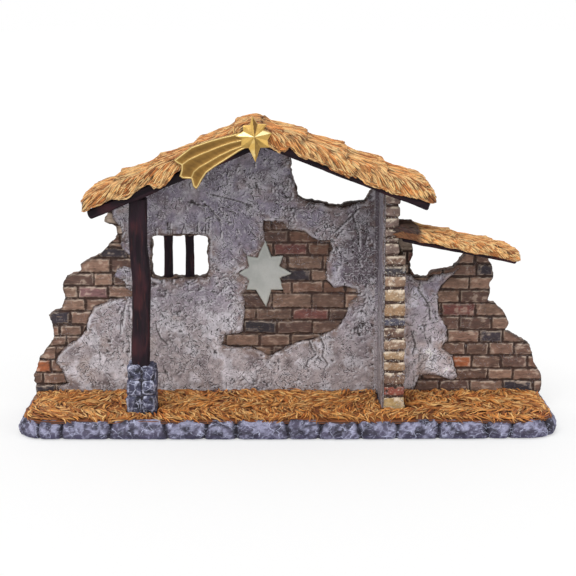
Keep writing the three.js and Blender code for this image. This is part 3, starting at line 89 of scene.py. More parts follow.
def face_edges(node, axis, level, order):
    """The edges round a CAD node's flat face at a level of an axis: pairs of points in the order's axes."""
    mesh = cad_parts[node].data
    spots = np.round(corner_points(mesh), 2)
    mesh.calc_loop_triangles()
    corners = np.zeros(len(mesh.loop_triangles) * 3, int)
    mesh.loop_triangles.foreach_get("vertices", corners)
    triangles = spots[corners].reshape(-1, 3, 3)
    flat = triangles[np.abs(triangles[:, :, axis] - level).max(axis=1) < 0.02]
    pairs = np.concatenate([flat[:, [0, 1]], flat[:, [1, 2]], flat[:, [2, 0]]])[:, :, list(order)]
    swapped = (pairs[:, 0, 0] > pairs[:, 1, 0]) | (
        (pairs[:, 0, 0] == pairs[:, 1, 0]) & (pairs[:, 0, 1] > pairs[:, 1, 1])
    )
    pairs[swapped] = pairs[swapped][:, ::-1]
    unique, counts = np.unique(pairs.reshape(-1, 4), axis=0, return_counts=True)
    return unique[counts == 1].reshape(-1, 2, 2)


def solid_tree(node):
    """A CAD node's surface, in millimetres, to lay other pieces on."""
    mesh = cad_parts[node].data
    spots = [vertex.co / MM for vertex in mesh.vertices]
    return BVHTree.FromPolygons(spots, [tuple(face.vertices) for face in mesh.polygons])


def laid_on(tree, spots, out, reach):
    """Places moved along their outward directions onto a surface, or left where it isn't within reach."""
    flat_spots, flat_out = spots.reshape(-1, 3), out.reshape(-1, 3)
    laid = flat_spots.copy()
    for n, (spot, away) in enumerate(zip(flat_spots, flat_out)):
        hit = tree.ray_cast(Vector(spot + away * reach), Vector(-away), 2 * reach)[0]
        if hit is not None:
            laid[n] = hit
    return laid.reshape(spots.shape)


def loop_edges(points):
    """The edges of a closed outline."""
    spots = np.array(points, float)
    return np.stack([spots, np.roll(spots, -1, axis=0)], axis=1)


# Noise and cells, the same on every run

def hashed(cells, seed):
    mixed = cells.astype(np.uint64)
    total = (
        mixed[..., 0] * np.uint64(374761393)
        + mixed[..., 1] * np.uint64(668265263)
        + mixed[..., 2] * np.uint64(2246822519)
        + np.uint64(seed * 3266489917 % 2**32)
    ) & np.uint64(0xFFFFFFFF)
    total = ((total ^ (total >> np.uint64(15))) * np.uint64(2246822519)) & np.uint64(0xFFFFFFFF)
    total = ((total ^ (total >> np.uint64(13))) * np.uint64(3266489917)) & np.uint64(0xFFFFFFFF)
    return (total ^ (total >> np.uint64(16))).astype(float) / 2.0**32


def noise(points, size, seed=0):
    """Smooth noise from -1 to 1, with lumps of about a size."""
    scaled = np.asarray(points, float) / size + 512.0
    corner = np.floor(scaled)
    part = scaled - corner
    part = part * part * (3 - 2 * part)
    corner = corner.astype(np.int64)
    total = np.zeros(scaled.shape[:-1])
    for offset in np.ndindex(2, 2, 2):
        step = np.array(offset)
        weight = np.prod(np.where(step == 1, part, 1 - part), axis=-1)
        total += weight * hashed(corner + step, seed)
    return 2 * total - 1


def rough(points, size, octaves=4, seed=0):
    """Layers of noise, each half the size and half the height of the one before."""
    shares = [0.5**octave for octave in range(octaves)]
    layers = [share * noise(points, size * share, seed + n) for n, share in enumerate(shares)]
    return sum(layers) / sum(shares) * 1.6


def cells(points, size, seed=0):
    """How much further the second of scattered centres is than the nearest, and the nearest's own share."""
    scaled = np.asarray(points, float) / size + 512.0
    corner = np.floor(scaled).astype(np.int64)
    nearest = np.full(scaled.shape[:-1], 9.0)
    second = nearest.copy()
    own = np.zeros(nearest.shape)
    for offset in np.ndindex(3, 3, 3):
        cell = corner + np.array(offset) - 1
        spot = cell + np.stack([hashed(cell, seed + axis) for axis in range(3)], axis=-1)
        distance = np.linalg.norm(scaled - spot, axis=-1)
        closer = distance < nearest
        second = np.where(closer, nearest, np.minimum(second, distance))
        own = np.where(closer, hashed(cell, seed + 7), own)
        nearest = np.where(closer, distance, nearest)
    return second - nearest, own


def flat_points(a, b):
    return np.stack([a, b, np.zeros_like(a)], axis=-1)


def smooth(value, low=0.0, high=1.0):
    share = np.clip((value - low) / (high - low), 0, 1)
    return share * share * (3 - 2 * share)


def bell(value, width):
    """1 where a value is zero, falling to nothing within about two widths."""
    return np.exp(-((value / width) ** 2))


def mix(first, second, share):
    """Between two colours or numbers, by a share or an array of shares."""
    share = np.asarray(share, float)
    first = np.asarray(first, float)
    second = np.asarray(second, float)
    if first.ndim and first.shape[-1] == 3 or second.ndim and second.shape[-1] == 3:
        share = share[..., None]
    return first + (second - first) * share


def ink(red, green, blue):
    """A linear colour from one read off a screen."""
    value = np.array([red, green, blue]) / 255
    return np.where(value <= 0.04045, value / 12.92, ((value + 0.055) / 1.055) ** 2.4)


def tinted(colour, shares):
    """A colour, darker or lighter at each place."""
    return np.asarray(colour) * np.asarray(shares)[..., None]


# Outlines

def crossings(edges, a, b):
    """Whether places lie inside the edges."""
    odd = np.zeros(a.shape, bool)
    for (a0, b0), (a1, b1) in edges:
        if b0 == b1:
            continue
        spans = (b0 > b) != (b1 > b)
        odd ^= spans & (a < a0 + (b - b0) * (a1 - a0) / (b1 - b0))
    return odd


def to_edges(edges, a, b):
    """The distance from places to the edges, and the nearest points on them."""
    best = np.full(a.shape, np.inf)
    near_a = a.copy()
    near_b = b.copy()
    for (a0, b0), (a1, b1) in edges:
        run_a, run_b = a1 - a0, b1 - b0
        share = np.clip(((a - a0) * run_a + (b - b0) * run_b) / (run_a**2 + run_b**2 + 1e-12), 0, 1)
        spot_a, spot_b = a0 + share * run_a, b0 + share * run_b
        distance = np.hypot(a - spot_a, b - spot_b)
        closer = distance < best
        best = np.where(closer, distance, best)
        near_a = np.where(closer, spot_a, near_a)
        near_b = np.where(closer, spot_b, near_b)
    return best, near_a, near_b


# Plates: grids of small cells cut to an outline, which then get two faces with relief

class Sheet:
    """A grid of small cells inside some edges, whose cut edge wanders a little."""

    def __init__(self, edges, cell, wander=0.0, seed=0):
        low = edges.min(axis=(0, 1)) - 2 * cell - wander
        high = edges.max(axis=(0, 1)) + 2 * cell + wander
        a, b = np.meshgrid(*[np.arange(low[k], high[k], cell) for k in (0, 1)], indexing="ij")
        spots = flat_points(a, b)
        shift_a = wander * (noise(spots, 6, seed) + 0.6 * noise(spots, 2.2, seed + 1))
        shift_b = wander * (noise(spots, 6, seed + 2) + 0.6 * noise(spots, 2.2, seed + 3))
        moved_a, moved_b = a + shift_a, b + shift_b
        centre_a, centre_b = [
            (moved[:-1, :-1] + moved[1:, :-1] + moved[1:, 1:] + moved[:-1, 1:]) / 4
            for moved in (moved_a, moved_b)
        ]
        filled = np.pad(crossings(edges, centre_a, centre_b), 1)
        around = (
            filled[:-1, :-1].astype(int) + filled[1:, :-1] + filled[:-1, 1:] + filled[1:, 1:]
        )
        used = around > 0
        rim = used & (around < 4)
        _, near_a, near_b = to_edges(edges, moved_a[rim], moved_b[rim])
        pull_a, pull_b = near_a - moved_a[rim], near_b - moved_b[rim]
        limit = np.minimum(1, 0.7 * cell / (np.hypot(pull_a, pull_b) + 1e-9))
        a[rim] += pull_a * limit
        b[rim] += pull_b * limit
        self.cell = cell
        self.used = used
        self.grid_a, self.grid_b = a, b
        self.a, self.b = a[used], b[used]
        self.count = len(self.a)
        index = np.full(used.shape, -1)
        index[used] = np.arange(self.count)
        inner = filled[1:-1, 1:-1]
        corners = [index[:-1, :-1], index[1:, :-1], index[1:, 1:], index[:-1, 1:]]
        self.quads = np.stack([corner[inner] for corner in corners], axis=-1)
        beside = [filled[1:-1, :-2], filled[2:, 1:-1], filled[1:-1, 2:], filled[:-2, 1:-1]]
        borders = []
        for side, neighbour in enumerate(beside):
            open_side = inner & ~neighbour
            borders.append(np.stack([corners[side][open_side], corners[(side + 1) % 4][open_side]], axis=-1))
        self.border = np.concatenate(borders)
        self.rim = np.unique(self.border)
        out = np.zeros((self.count, 2))
        run = np.stack([self.a, self.b], axis=-1)[self.border]
        heading = run[:, 1] - run[:, 0]
        aside = np.stack([heading[:, 1], -heading[:, 0]], axis=-1)
        for end in (0, 1):
            np.add.at(out, self.border[:, end], aside)
        self.out = out / (np.linalg.norm(out, axis=1, keepdims=True) + 1e-9)


def two_faced(sheet, front, back, front_paint, back_paint, side_paint, place, rows=3, ragged=0.0, seed=0):
    """The points, faces and paint of a closed plate. Its sides are ragged between the two faces."""
    front = np.broadcast_to(front, sheet.a.shape).astype(float)
    back = np.broadcast_to(back, sheet.a.shape).astype(float)
    points = [place(sheet.a, sheet.b, front), place(sheet.a, sheet.b, back)]
    paints = [np.broadcast_to(paint, (sheet.count, 3)) for paint in (front_paint, back_paint)]
    rim = sheet.rim
    rank = np.zeros(sheet.count, int)
    rank[rim] = np.arange(len(rim))
    levels = [np.arange(sheet.count)]
    for row in range(1, rows):
        depth = mix(front[rim], back[rim], row / rows)
        still = place(sheet.a[rim], sheet.b[rim], depth)
        push = ragged * (noise(still, 2.6, seed) - 0.35)
        points.append(
            place(sheet.a[rim] + sheet.out[rim, 0] * push, sheet.b[rim] + sheet.out[rim, 1] * push, depth)
        )
        shade = 0.75 + 0.5 * hashed(np.round(still * 3).astype(np.int64), seed)
        paints.append(tinted(np.ones(3), shade) * np.broadcast_to(side_paint, (sheet.count, 3))[rim])
        levels.append(2 * sheet.count + (row - 1) * len(rim) + rank)
    levels.append(sheet.count + np.arange(sheet.count))
    faces = [sheet.quads, sheet.quads[:, ::-1] + sheet.count]
    start, end = sheet.border[:, 0], sheet.border[:, 1]
    for upper, lower in zip(levels, levels[1:]):
        faces.append(np.stack([upper[start], lower[start], lower[end], upper[end]], axis=-1))
    return np.concatenate(points), [np.concatenate(faces)], np.concatenate(paints)


def upright(a, b, depth):
    """A plate that stands along X: its face looks to the front."""
    return np.stack([a, depth, b], axis=-1)


def lying(a, b, depth):
    """A plate that lies level: its face looks up."""
    return np.stack([a, b, depth], axis=-1)


def sideways(a, b, depth):
    """A plate that stands along Y, given by height and then Y: its face looks left."""
    return np.stack([depth, b, a], axis=-1)


def stamp(field, sheet, path, width, depth):
    """Deepens a field along a path, as a pointed tool does."""
    path = np.array(path, float)
    reach = 3 * width
    low, high = path.min(axis=0) - reach, path.max(axis=0) + reach
    columns, rows = sheet.grid_a[:, 0], sheet.grid_b[0]
    i0, i1 = np.searchsorted(columns, [low[0], high[0]])
    k0, k1 = np.searchsorted(rows, [low[1], high[1]])
    if i1 <= i0 or k1 <= k0:
        return
    a, b = sheet.grid_a[i0:i1, k0:k1], sheet.grid_b[i0:i1, k0:k1]
    distance = to_edges(np.stack([path[:-1], path[1:]], axis=1), a, b)[0]
    cut = depth * np.exp(-((distance / width) ** 2))
    field[i0:i1, k0:k1] = np.maximum(field[i0:i1, k0:k1], cut)


# Meshes

def add_mesh(name, points, faces, paint, material, slot, nodes, body="root", crease=35):
    """A piece of the object from points in millimetres, lists of faces by corner count, and a paint."""
    mesh = bpy.data.meshes.new(name)
    counts = np.concatenate([np.full(len(group), group.shape[1]) for group in faces])
    corners = np.concatenate([group.ravel() for group in faces])
    mesh.vertices.add(len(points))
    mesh.vertices.foreach_set("co", (np.asarray(points) * MM).ravel())
    mesh.loops.add(len(corners))
    mesh.loops.foreach_set("vertex_index", corners.astype(np.int32))
    mesh.polygons.add(len(counts))
    mesh.polygons.foreach_set("loop_start", (np.cumsum(counts) - counts).astype(np.int32))
    mesh.update(calc_edges=True)
    mesh.validate()
    mesh.shade_smooth()
    mesh.set_sharp_from_angle(angle=math.radians(crease))
    layer = mesh.color_attributes.new("paint", "FLOAT_COLOR", "POINT")
    colours = np.ones((len(points), 4))
    colours[:, :3] = np.clip(paint, 0, 1)
    layer.data.foreach_set("color", colours.ravel())
    mesh.materials.append(material)
    piece = bpy.data.objects.new(name, mesh)
    bpy.context.scene.collection.objects.link(piece)
    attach(piece, body)
    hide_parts(*nodes)
    return piece


def merged(parts):
    """Several (points, faces, paint) as one."""
    points, faces, paints = [], {}, []
    start = 0
    for part_points, part_faces, part_paint in parts:
        points.append(part_points)
        paints.append(np.broadcast_to(part_paint, (len(part_points), 3)))
        for group in part_faces:
            faces.setdefault(group.shape[1], []).append(group + start)
        start += len(part_points)
    return np.concatenate(points), [np.concatenate(group) for group in faces.values()], np.concatenate(paints)


def block(low, high, cell, radius):
    """A box with rounded edges, as a fine grid: its points, faces and outward directions."""
    low, high = np.array(low, float), np.array(high, float)
    size = high - low
    steps = np.maximum(2, np.round(size / cell).astype(int))
    quads = []
    for axis in range(3):
        first, second = (axis + 1) % 3, (axis + 2) % 3
        u, v = np.meshgrid(np.arange(steps[first]), np.arange(steps[second]), indexing="ij")
        for end in (0, 1):
            corner = np.zeros((u.size, 4, 3), int)
            order = [(0, 0), (1, 0), (1, 1), (0, 1)] if end else [(0, 0), (0, 1), (1, 1), (1, 0)]
            for k, (du, dv) in enumerate(order):
                corner[:, k, axis] = steps[axis] * end
                corner[:, k, first] = u.ravel() + du
                corner[:, k, second] = v.ravel() + dv
            quads.append(corner)
    quads = np.concatenate(quads)
    lattice, index = np.unique(quads.reshape(-1, 3), axis=0, return_inverse=True)
    half = size / 2
    radius = min(radius, half.min() * 0.95)
    local = (lattice / steps * 2 - 1) * half
    inner = np.clip(local, radius - half, half - radius)
    out = local - inner
    out /= np.linalg.norm(out, axis=1, keepdims=True)
    return inner + out * radius + low + half, [index.reshape(-1, 4)], out


def loft(rings, paint):
    """Rings of points joined one to the next, with closed ends. Each ring turns round its heading."""
    count, around = rings.shape[:2]
    index = np.arange(count * around).reshape(count, around)
    near, far = index[:-1], index[1:]
    quads = np.stack([near, np.roll(near, -1, 1), np.roll(far, -1, 1), far], axis=-1).reshape(-1, 4)
    hub = count * around
    first, last = index[0], index[-1]
    ends = np.concatenate([
        np.stack([np.roll(first, -1), first, np.full(around, hub)], axis=-1),
        np.stack([last, np.roll(last, -1), np.full(around, hub + 1)], axis=-1),
    ])
    points = np.concatenate([rings.reshape(-1, 3), rings[[0, -1]].mean(axis=1)])
    paint = np.asarray(paint).reshape(-1, 3)
    return points, [quads, ends], np.concatenate([paint, paint[[0, -1]]])


# Materials

def add_node(tree, kind, values=None, **settings):
    made = tree.nodes.new(kind)
    for key, value in settings.items():
        setattr(made, key, value)
    for socket, value in (values or {}).items():
        if isinstance(value, bpy.types.NodeSocket):
            tree.links.new(value, made.inputs[socket])
        else:
            made.inputs[socket].default_value = value
    return made


def grain(tree, size, stretch=(1, 1, 1), detail=4.0, distortion=0.0):
    """A noise of a size in millimetres, drawn out along the axes by the stretch."""
    place = add_node(tree, "ShaderNodeTexCoord").outputs["Object"]
    scale = tuple(1 / (size * MM * share) for share in stretch)
    scaled = add_node(tree, "ShaderNodeMapping", {"Vector": place, "Scale": scale}).outputs["Vector"]
    values = {"Vector": scaled, "Scale": 1.0, "Detail": detail, "Roughness": 0.6, "Distortion": distortion}
    return add_node(tree, "ShaderNodeTexNoise", values).outputs["Fac"]


def ranged(tree, value, low, high, to_low, to_high):
    values = {"Value": value, "From Min": low, "From Max": high, "To Min": to_low, "To Max": to_high}
    return add_node(tree, "ShaderNodeMapRange", values).outputs["Result"]


def blend_in(tree, colour, layer, share):
    """A colour with a layer of paint over it, by a share from 0 to 1."""
    made = add_node(tree, "ShaderNodeMix", data_type="RGBA")
    tree.links.new(share, made.inputs[0])
    tree.links.new(colour, made.inputs[6])
    made.inputs[7].default_value = (*layer, 1)
    return made.outputs[2]


def painted(name, size, tone=0.25, roughness=(0.65, 0.9), stretch=(1, 1, 1), bump=0.35, depth=0.25,
            metallic=0.0, layers=(), coat=0.0, shine=0.5):
    """Paint from the mesh, broken up by a grain of a size in millimetres, with fine relief.

    Each layer is (colour, grain size, from, to, most): paint laid on where a grain lies between two values.
    """
    material = bpy.data.materials.new(name)
    material.use_nodes = True
    tree = material.node_tree
    shader = tree.nodes["Principled BSDF"]
    colour = add_node(tree, "ShaderNodeAttribute", attribute_name="paint").outputs["Color"]
    fine = grain(tree, size, stretch)
    spread = ranged(tree, fine, 0.25, 0.75, 1 - tone, 1 + tone)
    values = {0: colour, "Scale": spread}
    colour = add_node(tree, "ShaderNodeVectorMath", values, operation="SCALE").outputs[0]
    for layer, layer_size, low, high, most in layers:
        spots = grain(tree, layer_size, stretch, detail=6.0, distortion=0.6)
        colour = blend_in(tree, colour, layer, ranged(tree, spots, low, high, 0.0, most))
    tree.links.new(colour, shader.inputs["Base Color"])
    tree.links.new(ranged(tree, fine, 0.3, 0.7, *roughness), shader.inputs["Roughness"])
    relief = {"Height": fine, "Strength": bump, "Distance": depth * MM}
    tree.links.new(add_node(tree, "ShaderNodeBump", relief).outputs["Normal"], shader.inputs["Normal"])
    shader.inputs["Metallic"].default_value = metallic
    shader.inputs["Coat Weight"].default_value = coat
    shader.inputs["Specular IOR Level"].default_value = shine
    return material


def vector_math(tree, operation, first, second=None):
    values = {0: first} if second is None else {0: first, 1: second}
    return add_node(tree, "ShaderNodeVectorMath", values, operation=operation).outputs


def multiplied(tree, *shares):
    total = shares[0]
    for share in shares[1:]:
        total = add_node(tree, "ShaderNodeMath", {0: total, 1: share}, operation="MULTIPLY").outputs[0]
    return total


def veined(material, size, colour, width, most):
    """Thin broken lines of pale paint along the edges between facets of a size in millimetres."""
    tree = material.node_tree
    shader = tree.nodes["Principled BSDF"]
    before = shader.inputs["Base Color"].links[0].from_socket
    place = add_node(tree, "ShaderNodeTexCoord").outputs["Object"]
    scale = (1 / (size * MM),) * 3
    scaled = add_node(tree, "ShaderNodeMapping", {"Vector": place, "Scale": scale}).outputs["Vector"]
    bent = add_node(tree, "ShaderNodeTexNoise", {"Vector": scaled, "Scale": 1.3, "Detail": 3.0})
    moved = vector_math(tree, "ADD", scaled, bent.outputs["Color"])[0]
    edge = add_node(tree, "ShaderNodeTexVoronoi", {"Vector": moved, "Scale": 1.0},
                    feature="DISTANCE_TO_EDGE").outputs["Distance"]
    line = ranged(tree, edge, 0.0, width, most, 0.0)
    gaps = ranged(tree, grain(tree, size * 0.8), 0.44, 0.56, 0.0, 1.0)
    tree.links.new(blend_in(tree, before, colour, multiplied(tree, line, gaps)), shader.inputs["Base Color"])
    return material


def scratched(material, size, width, most, clusters, shift):
    """Short bent strokes of dark paint in every direction, each with a pale fleck beside it.

    One stroke lies in each patch of a size in millimetres. Its width is a share of that size.
    The strokes crowd into clusters of a size in millimetres.
    """
    tree = material.node_tree
    shader = tree.nodes["Principled BSDF"]
    before = shader.inputs["Base Color"].links[0].from_socket
    place = add_node(tree, "ShaderNodeTexCoord").outputs["Object"]
    values = {"Vector": place, "Scale": (1 / (size * MM),) * 3, "Location": (shift, shift * 1.7, shift * 0.3)}
    scaled = add_node(tree, "ShaderNodeMapping", values).outputs["Vector"]
    bent = add_node(tree, "ShaderNodeTexNoise", {"Vector": scaled, "Scale": 1.2, "Detail": 2.0})
    moved = vector_math(tree, "ADD", scaled, bent.outputs["Color"])[0]
    patch = add_node(tree, "ShaderNodeTexVoronoi", {"Vector": moved, "Scale": 1.0}).outputs
    local = vector_math(tree, "SUBTRACT", moved, patch["Position"])[0]
    normal = add_node(tree, "ShaderNodeNewGeometry").outputs["True Normal"]
    chance = vector_math(tree, "SUBTRACT", patch["Color"], (0.5, 0.5, 0.5))[0]
    along = vector_math(tree, "NORMALIZE", vector_math(tree, "CROSS_PRODUCT", chance, normal)[0])[0]
    aside = vector_math(tree, "CROSS_PRODUCT", along, normal)[0]
    off = vector_math(tree, "DOT_PRODUCT", local, aside)["Value"]
    run = vector_math(tree, "DOT_PRODUCT", local, along)["Value"]
    length = add_node(tree, "ShaderNodeMath", {0: run}, operation="ABSOLUTE").outputs[0]
    ends = ranged(tree, length, 0.3, 0.5, 1.0, 0.0)
    crowd = ranged(tree, grain(tree, clusters, detail=3.0), 0.48, 0.6, 0.0, most)
    colour = before
    for layer, beside, strength in ((WHITE_PAINT, 1.8, 0.6), (DARK_WASH, 0.0, 1.0)):
        away = add_node(tree, "ShaderNodeMath", {0: off, 1: beside * width}, operation="SUBTRACT").outputs[0]
        away = add_node(tree, "ShaderNodeMath", {0: away}, operation="ABSOLUTE").outputs[0]
        line = ranged(tree, away, 0.5 * width, width, strength, 0.0)
        colour = blend_in(tree, colour, layer, multiplied(tree, line, ends, crowd))
    tree.links.new(colour, shader.inputs["Base Color"])
    return material


def lit_plastic(name):
    """Frosted plastic that lets a little light through."""
    material = painted(name, 1.4, tone=0.06, roughness=(0.45, 0.6), bump=0.15, depth=0.1)
    shader = material.node_tree.nodes["Principled BSDF"]
    shader.inputs["Subsurface Weight"].default_value = 0.25
    shader.inputs["Subsurface Radius"].default_value = (0.004, 0.004, 0.004)
    shader.inputs["Subsurface Scale"].default_value = 0.4
    return material


WHITE_PAINT = ink(214, 212, 218)
DARK_WASH = ink(38, 29, 31)
RAFTER_WEAR = (ink(84, 52, 50), 2.4, 0.58, 0.72, 0.35)
POST_WEAR = (ink(92, 46, 42), 2.2, 0.56, 0.7, 0.45)


def scratched_over(material, *runs):
    """Paint that is scratched once for each run, which holds what the scratches are told."""
    for run in runs:
        material = scratched(material, *run)
    return material


def wooden(name, stretch, wear):
    """Dark wood whose grain is drawn out along the stretch, with one layer of wear."""
    return painted(name, 1.2, tone=0.35, stretch=stretch, bump=0.6, depth=0.35, shine=0.25, layers=[wear])


MATERIALS = {
    "plaster": scratched_over(
        painted("plaster", 1.0, tone=0.17, bump=0.5, depth=0.3,
                layers=[(DARK_WASH, 1.2, 0.585, 0.65, 0.8), (WHITE_PAINT, 1.7, 0.56, 0.67, 0.65)]),
        (7.5, 0.045, 0.9, 24, 9.1), (4.4, 0.08, 0.95, 19, 5.3), (2.7, 0.115, 0.95, 13, 0.0)),
    "brick": scratched_over(
        painted("brick", 1.0, tone=0.3, stretch=(4, 4, 1), bump=0.6, depth=0.3,
                layers=[(ink(190, 164, 140), 1.2, 0.58, 0.72, 0.4), (ink(62, 42, 36), 1.1, 0.58, 0.69, 0.7)]),
        (3.4, 0.06, 0.4, 12, 2.7)),
    "masonry": painted("masonry", 2.4, tone=0.3, bump=0.6, depth=0.5),
    "pillar": scratched_over(
        painted("pillar", 1.3, tone=0.25, bump=0.6, depth=0.35,
                layers=[(ink(226, 214, 194), 1.5, 0.57, 0.67, 0.75), (ink(78, 52, 34), 1.4, 0.59, 0.69, 0.6)]),
        (3.6, 0.07, 0.8, 9, 6.1)),
    "stone": veined(
        painted("stone", 1.4, tone=0.28, stretch=(2.2, 2.2, 0.8), bump=0.6, depth=0.35,
                layers=[(ink(176, 180, 206), 1.5, 0.57, 0.68, 0.6),
                        (ink(38, 34, 48), 1.3, 0.58, 0.68, 0.5)]),
        8.4, ink(200, 204, 230), 0.036, 0.75),
    "wood_x": wooden("wood_x", (9, 1, 1), RAFTER_WEAR),
    "wood_y": wooden("wood_y", (1, 9, 1), RAFTER_WEAR),
    "wood_z": wooden("wood_z", (1, 1, 9), POST_WEAR),
    "thatch": painted("thatch", 1.3, tone=0.18, roughness=(0.6, 0.85), bump=0.4, depth=0.2),
    "straw": painted("straw", 1.2, tone=0.18, roughness=(0.6, 0.85), bump=0.4, depth=0.2),
    "gold": painted("gold", 0.6, tone=0.14, roughness=(0.3, 0.45), bump=0.15, depth=0.1, metallic=0.55),
    "lens": lit_plastic("lens"),
}


# Plates of the walls

WALL_BACK = span("main_wall")[1][1]
PLASTER_FRONT = span("main_wall_plaster")[0][1]
MORTAR_FACE = span("main_wall_plaster")[1][1]
BRICK_FACE = span("main_wall")[0][1]

BRICK_TONES = [ink(128, 98, 84), ink(114, 86, 74), ink(138, 108, 92), ink(104, 77, 68), ink(132, 95, 78)]
NAMED_TONES = {
    "dark": ink(58, 50, 58),
    "red": ink(124, 76, 70),
    "orange": ink(158, 92, 58),
    "mauve": ink(134, 98, 98),
    "tan": ink(172, 152, 136),
}
BRICK_EDGE = ink(214, 194, 176)
MORTAR = ink(62, 39, 31)
MASONRY_SIDE = ink(52, 40, 34)
MASONRY_BACK = ink(120, 104, 96)
BRICK_RUN = 25.0
BRICK_HEIGHT = 9.6
EDGE_WANDER = 1.0
MASONRY_CELL = 1.15
BRICK_CELL = 0.6
# The bricks of the patch round the star are painted darker than the rest, as painted shade under the roof;
# those left of it are a little darker too
PATCH_START = -96.0
PATCH_END = 66.0
LEFT_LIGHT = 0.92
PATCH_LIGHT = 0.7
JOINT_WIDTH = 1.15

# Courses of bare brick: the height of the bed below, its joints from left to right, and odd bricks by a
# place inside them
PATCH_COURSES = [
    (38.8, [-12, 13], {}),
    (48.4, [-21.4, 2], {}),
    (58, [-33.1, -8.1, 18.2], {-20: "dark"}),
    (68.3, [-23.8, 3.2, 30.7], {15: "red"}),
    (77.3, [-11.7, 17.8, 42.3], {}),
    (88.8, [2.8, 26.1, 42.7], {}),
    (97.8, [-6, 16.9, 40], {10: "dark"}),
    (106.7, [-24, -0.4, 25.9], {}),
    (117.1, [-10.8, 14.6, 30.8], {2: "red"}),
    (126.6, [0.4, 24], {}),
    (136, [-12, 14], {}),
    (145.4, [2, 26], {}),
]
LEFT_COURSES = [
    (13.2, [-174.8, -157], {-182: "dark"}),
    (19.4, [-183.8, -166], {}),
    (28.5, [-177.8, -168], {-184: "orange"}),
    (38.3, [-173.7], {}),
    (48.4, [-165.5], {}),
    (56.4, [-170.3, -153.5], {}),
    (64.7, [-178.6, -162.2], {-170: "dark"}),
    (75.1, [-150.5], {}),
    (84.6, [-156, -133.8], {-145: "mauve"}),
    (94.1, [-144, -129.9], {}),
    (103.9, [-131.3], {}),
    (115, [-140.2, -118.4], {-130: "dark"}),
    (122.9, [-133, -112], {}),
    (126.6, [-141, -124], {-120: "tan"}),
    (133, [-130, -113], {-120: "tan"}),
    (140, [-138, -120], {-125: "tan"}),
]
LEAN_TO_COURSES = [
    (13.2, [113.4, 136.5, 161.2, 183.8], {172: "dark"}),
    (22.7, [125.4, 149.7, 168.5], {}),
    (31.7, [113, 137.4, 159.4, 179.1], {130: "orange"}),
    (41.5, [132.6, 150.1, 168.9], {}),
    (51.3, [119, 142.8, 160.3], {151: "dark"}),
    (61.1, [127.6, 151.7], {}),
    (71.3, [114, 139.5], {130: "red"}),
    (81.4, [127.7], {}),
    (91.5, [134.5], {}),
    (101.5, [139.7, 152.6], {146: "dark"}),
    (110.8, [138.2], {92: "red"}),
    (120.4, [128, 150], {92: "tan"}),
    (130, [140], {92: "tan"}),
]


def course_bricks(courses, reach):
    """Each brick of the courses: its ends, beds and tone's name, carried on to both ends of a reach."""
    tops = [course[0] for course in courses[1:]] + [courses[-1][0] + BRICK_HEIGHT]
    for (low, joints, odd), high in zip(courses, tops):
        marks = list(joints)
        while marks[0] > reach[0]:
            marks.insert(0, marks[0] - BRICK_RUN)
        while marks[-1] < reach[1]:
            marks.append(marks[-1] + BRICK_RUN)
        for left, right in zip(marks, marks[1:]):
            named = [tone for place, tone in odd.items() if left < place < right]
            yield left, right, low, high, named[0] if named else None


def lay_bricks(a, b, courses, reach, seed):
    """How far each place stands above the mortar, from 0 to 1, and its paint."""
    spots = flat_points(a, b)
    wobble = 0.45 * noise(spots, 5, seed) + 0.35 * noise(spots, 1.8, seed + 1)
    streak = rough(spots * [0.35, 1.6, 1], 3, 3, seed + 2)
    chip = rough(spots, 3.4, 3, seed + 3)
    rise = np.zeros(a.shape)
    paint = tinted(MORTAR, 0.8 + 0.3 * rough(spots, 2.5, 3, seed + 4))
    for n, (left, right, low, high, named) in enumerate(course_bricks(courses, reach)):
        near = (a > left - 1) & (a < right + 1) & (b > low - 1) & (b < high + 1)
        if not near.any():
            continue
        chance = hashed(np.array([[n, seed, 3], [n, seed, 5], [n, seed, 9], [n, seed, 12]]), seed)
        x, z = a[near], b[near]
        tilt = (chance[0] - 0.5) * 0.08 * (x - (left + right) / 2)
        inward = np.minimum(
            np.minimum(x - left, right - x), np.minimum(z - low - tilt, high - z + tilt)
        ) - JOINT_WIDTH / 2 + wobble[near]
        body = smooth(inward, -0.1, 0.8)
        worn = 0.16 * chip[near] + 0.07 * streak[near]
        lean = (chance[1] - 0.5) * 0.03 * (x - left)
        rise[near] = np.maximum(rise[near], body * (0.78 + 0.25 * chance[2] + worn + lean))
        usual = BRICK_TONES[int(chance[3] * len(BRICK_TONES)) % len(BRICK_TONES)]
        tone = NAMED_TONES[named] if named else usual
        # Bricks of the patch are painted darker, as painted shade under the roof
        tone = tone * (LEFT_LIGHT if right < PATCH_START else PATCH_LIGHT if right < PATCH_END else 1.0)
        shade = (0.82 + 0.34 * chance[2]) * (1 + 0.22 * streak[near] + 0.18 * chip[near])
        face = tinted(tone, shade)
        # Pale dry-brushed edges, stronger along each brick's top as a painted highlight
        upper = 0.5 + 0.5 * smooth(z, low + (high - low) * 0.4, high - 0.5)
        edge = bell(inward - 0.6, 0.4) * upper * smooth(chip[near], -0.7, 0.3)
        # The patch's bricks, in painted shade, take less pale edge paint and wear
        patch_in_shade = PATCH_START < left and right < PATCH_END
        face = mix(face, BRICK_EDGE, (0.6 if patch_in_shade else 0.95) * edge)
        worn_away = smooth(chip[near] + 0.4 * streak[near], 0.45, 0.95)
        face = mix(face, BRICK_EDGE, (0.15 if patch_in_shade else 0.4) * worn_away)
        paint[near] = mix(paint[near], face, body)
    return rise, paint


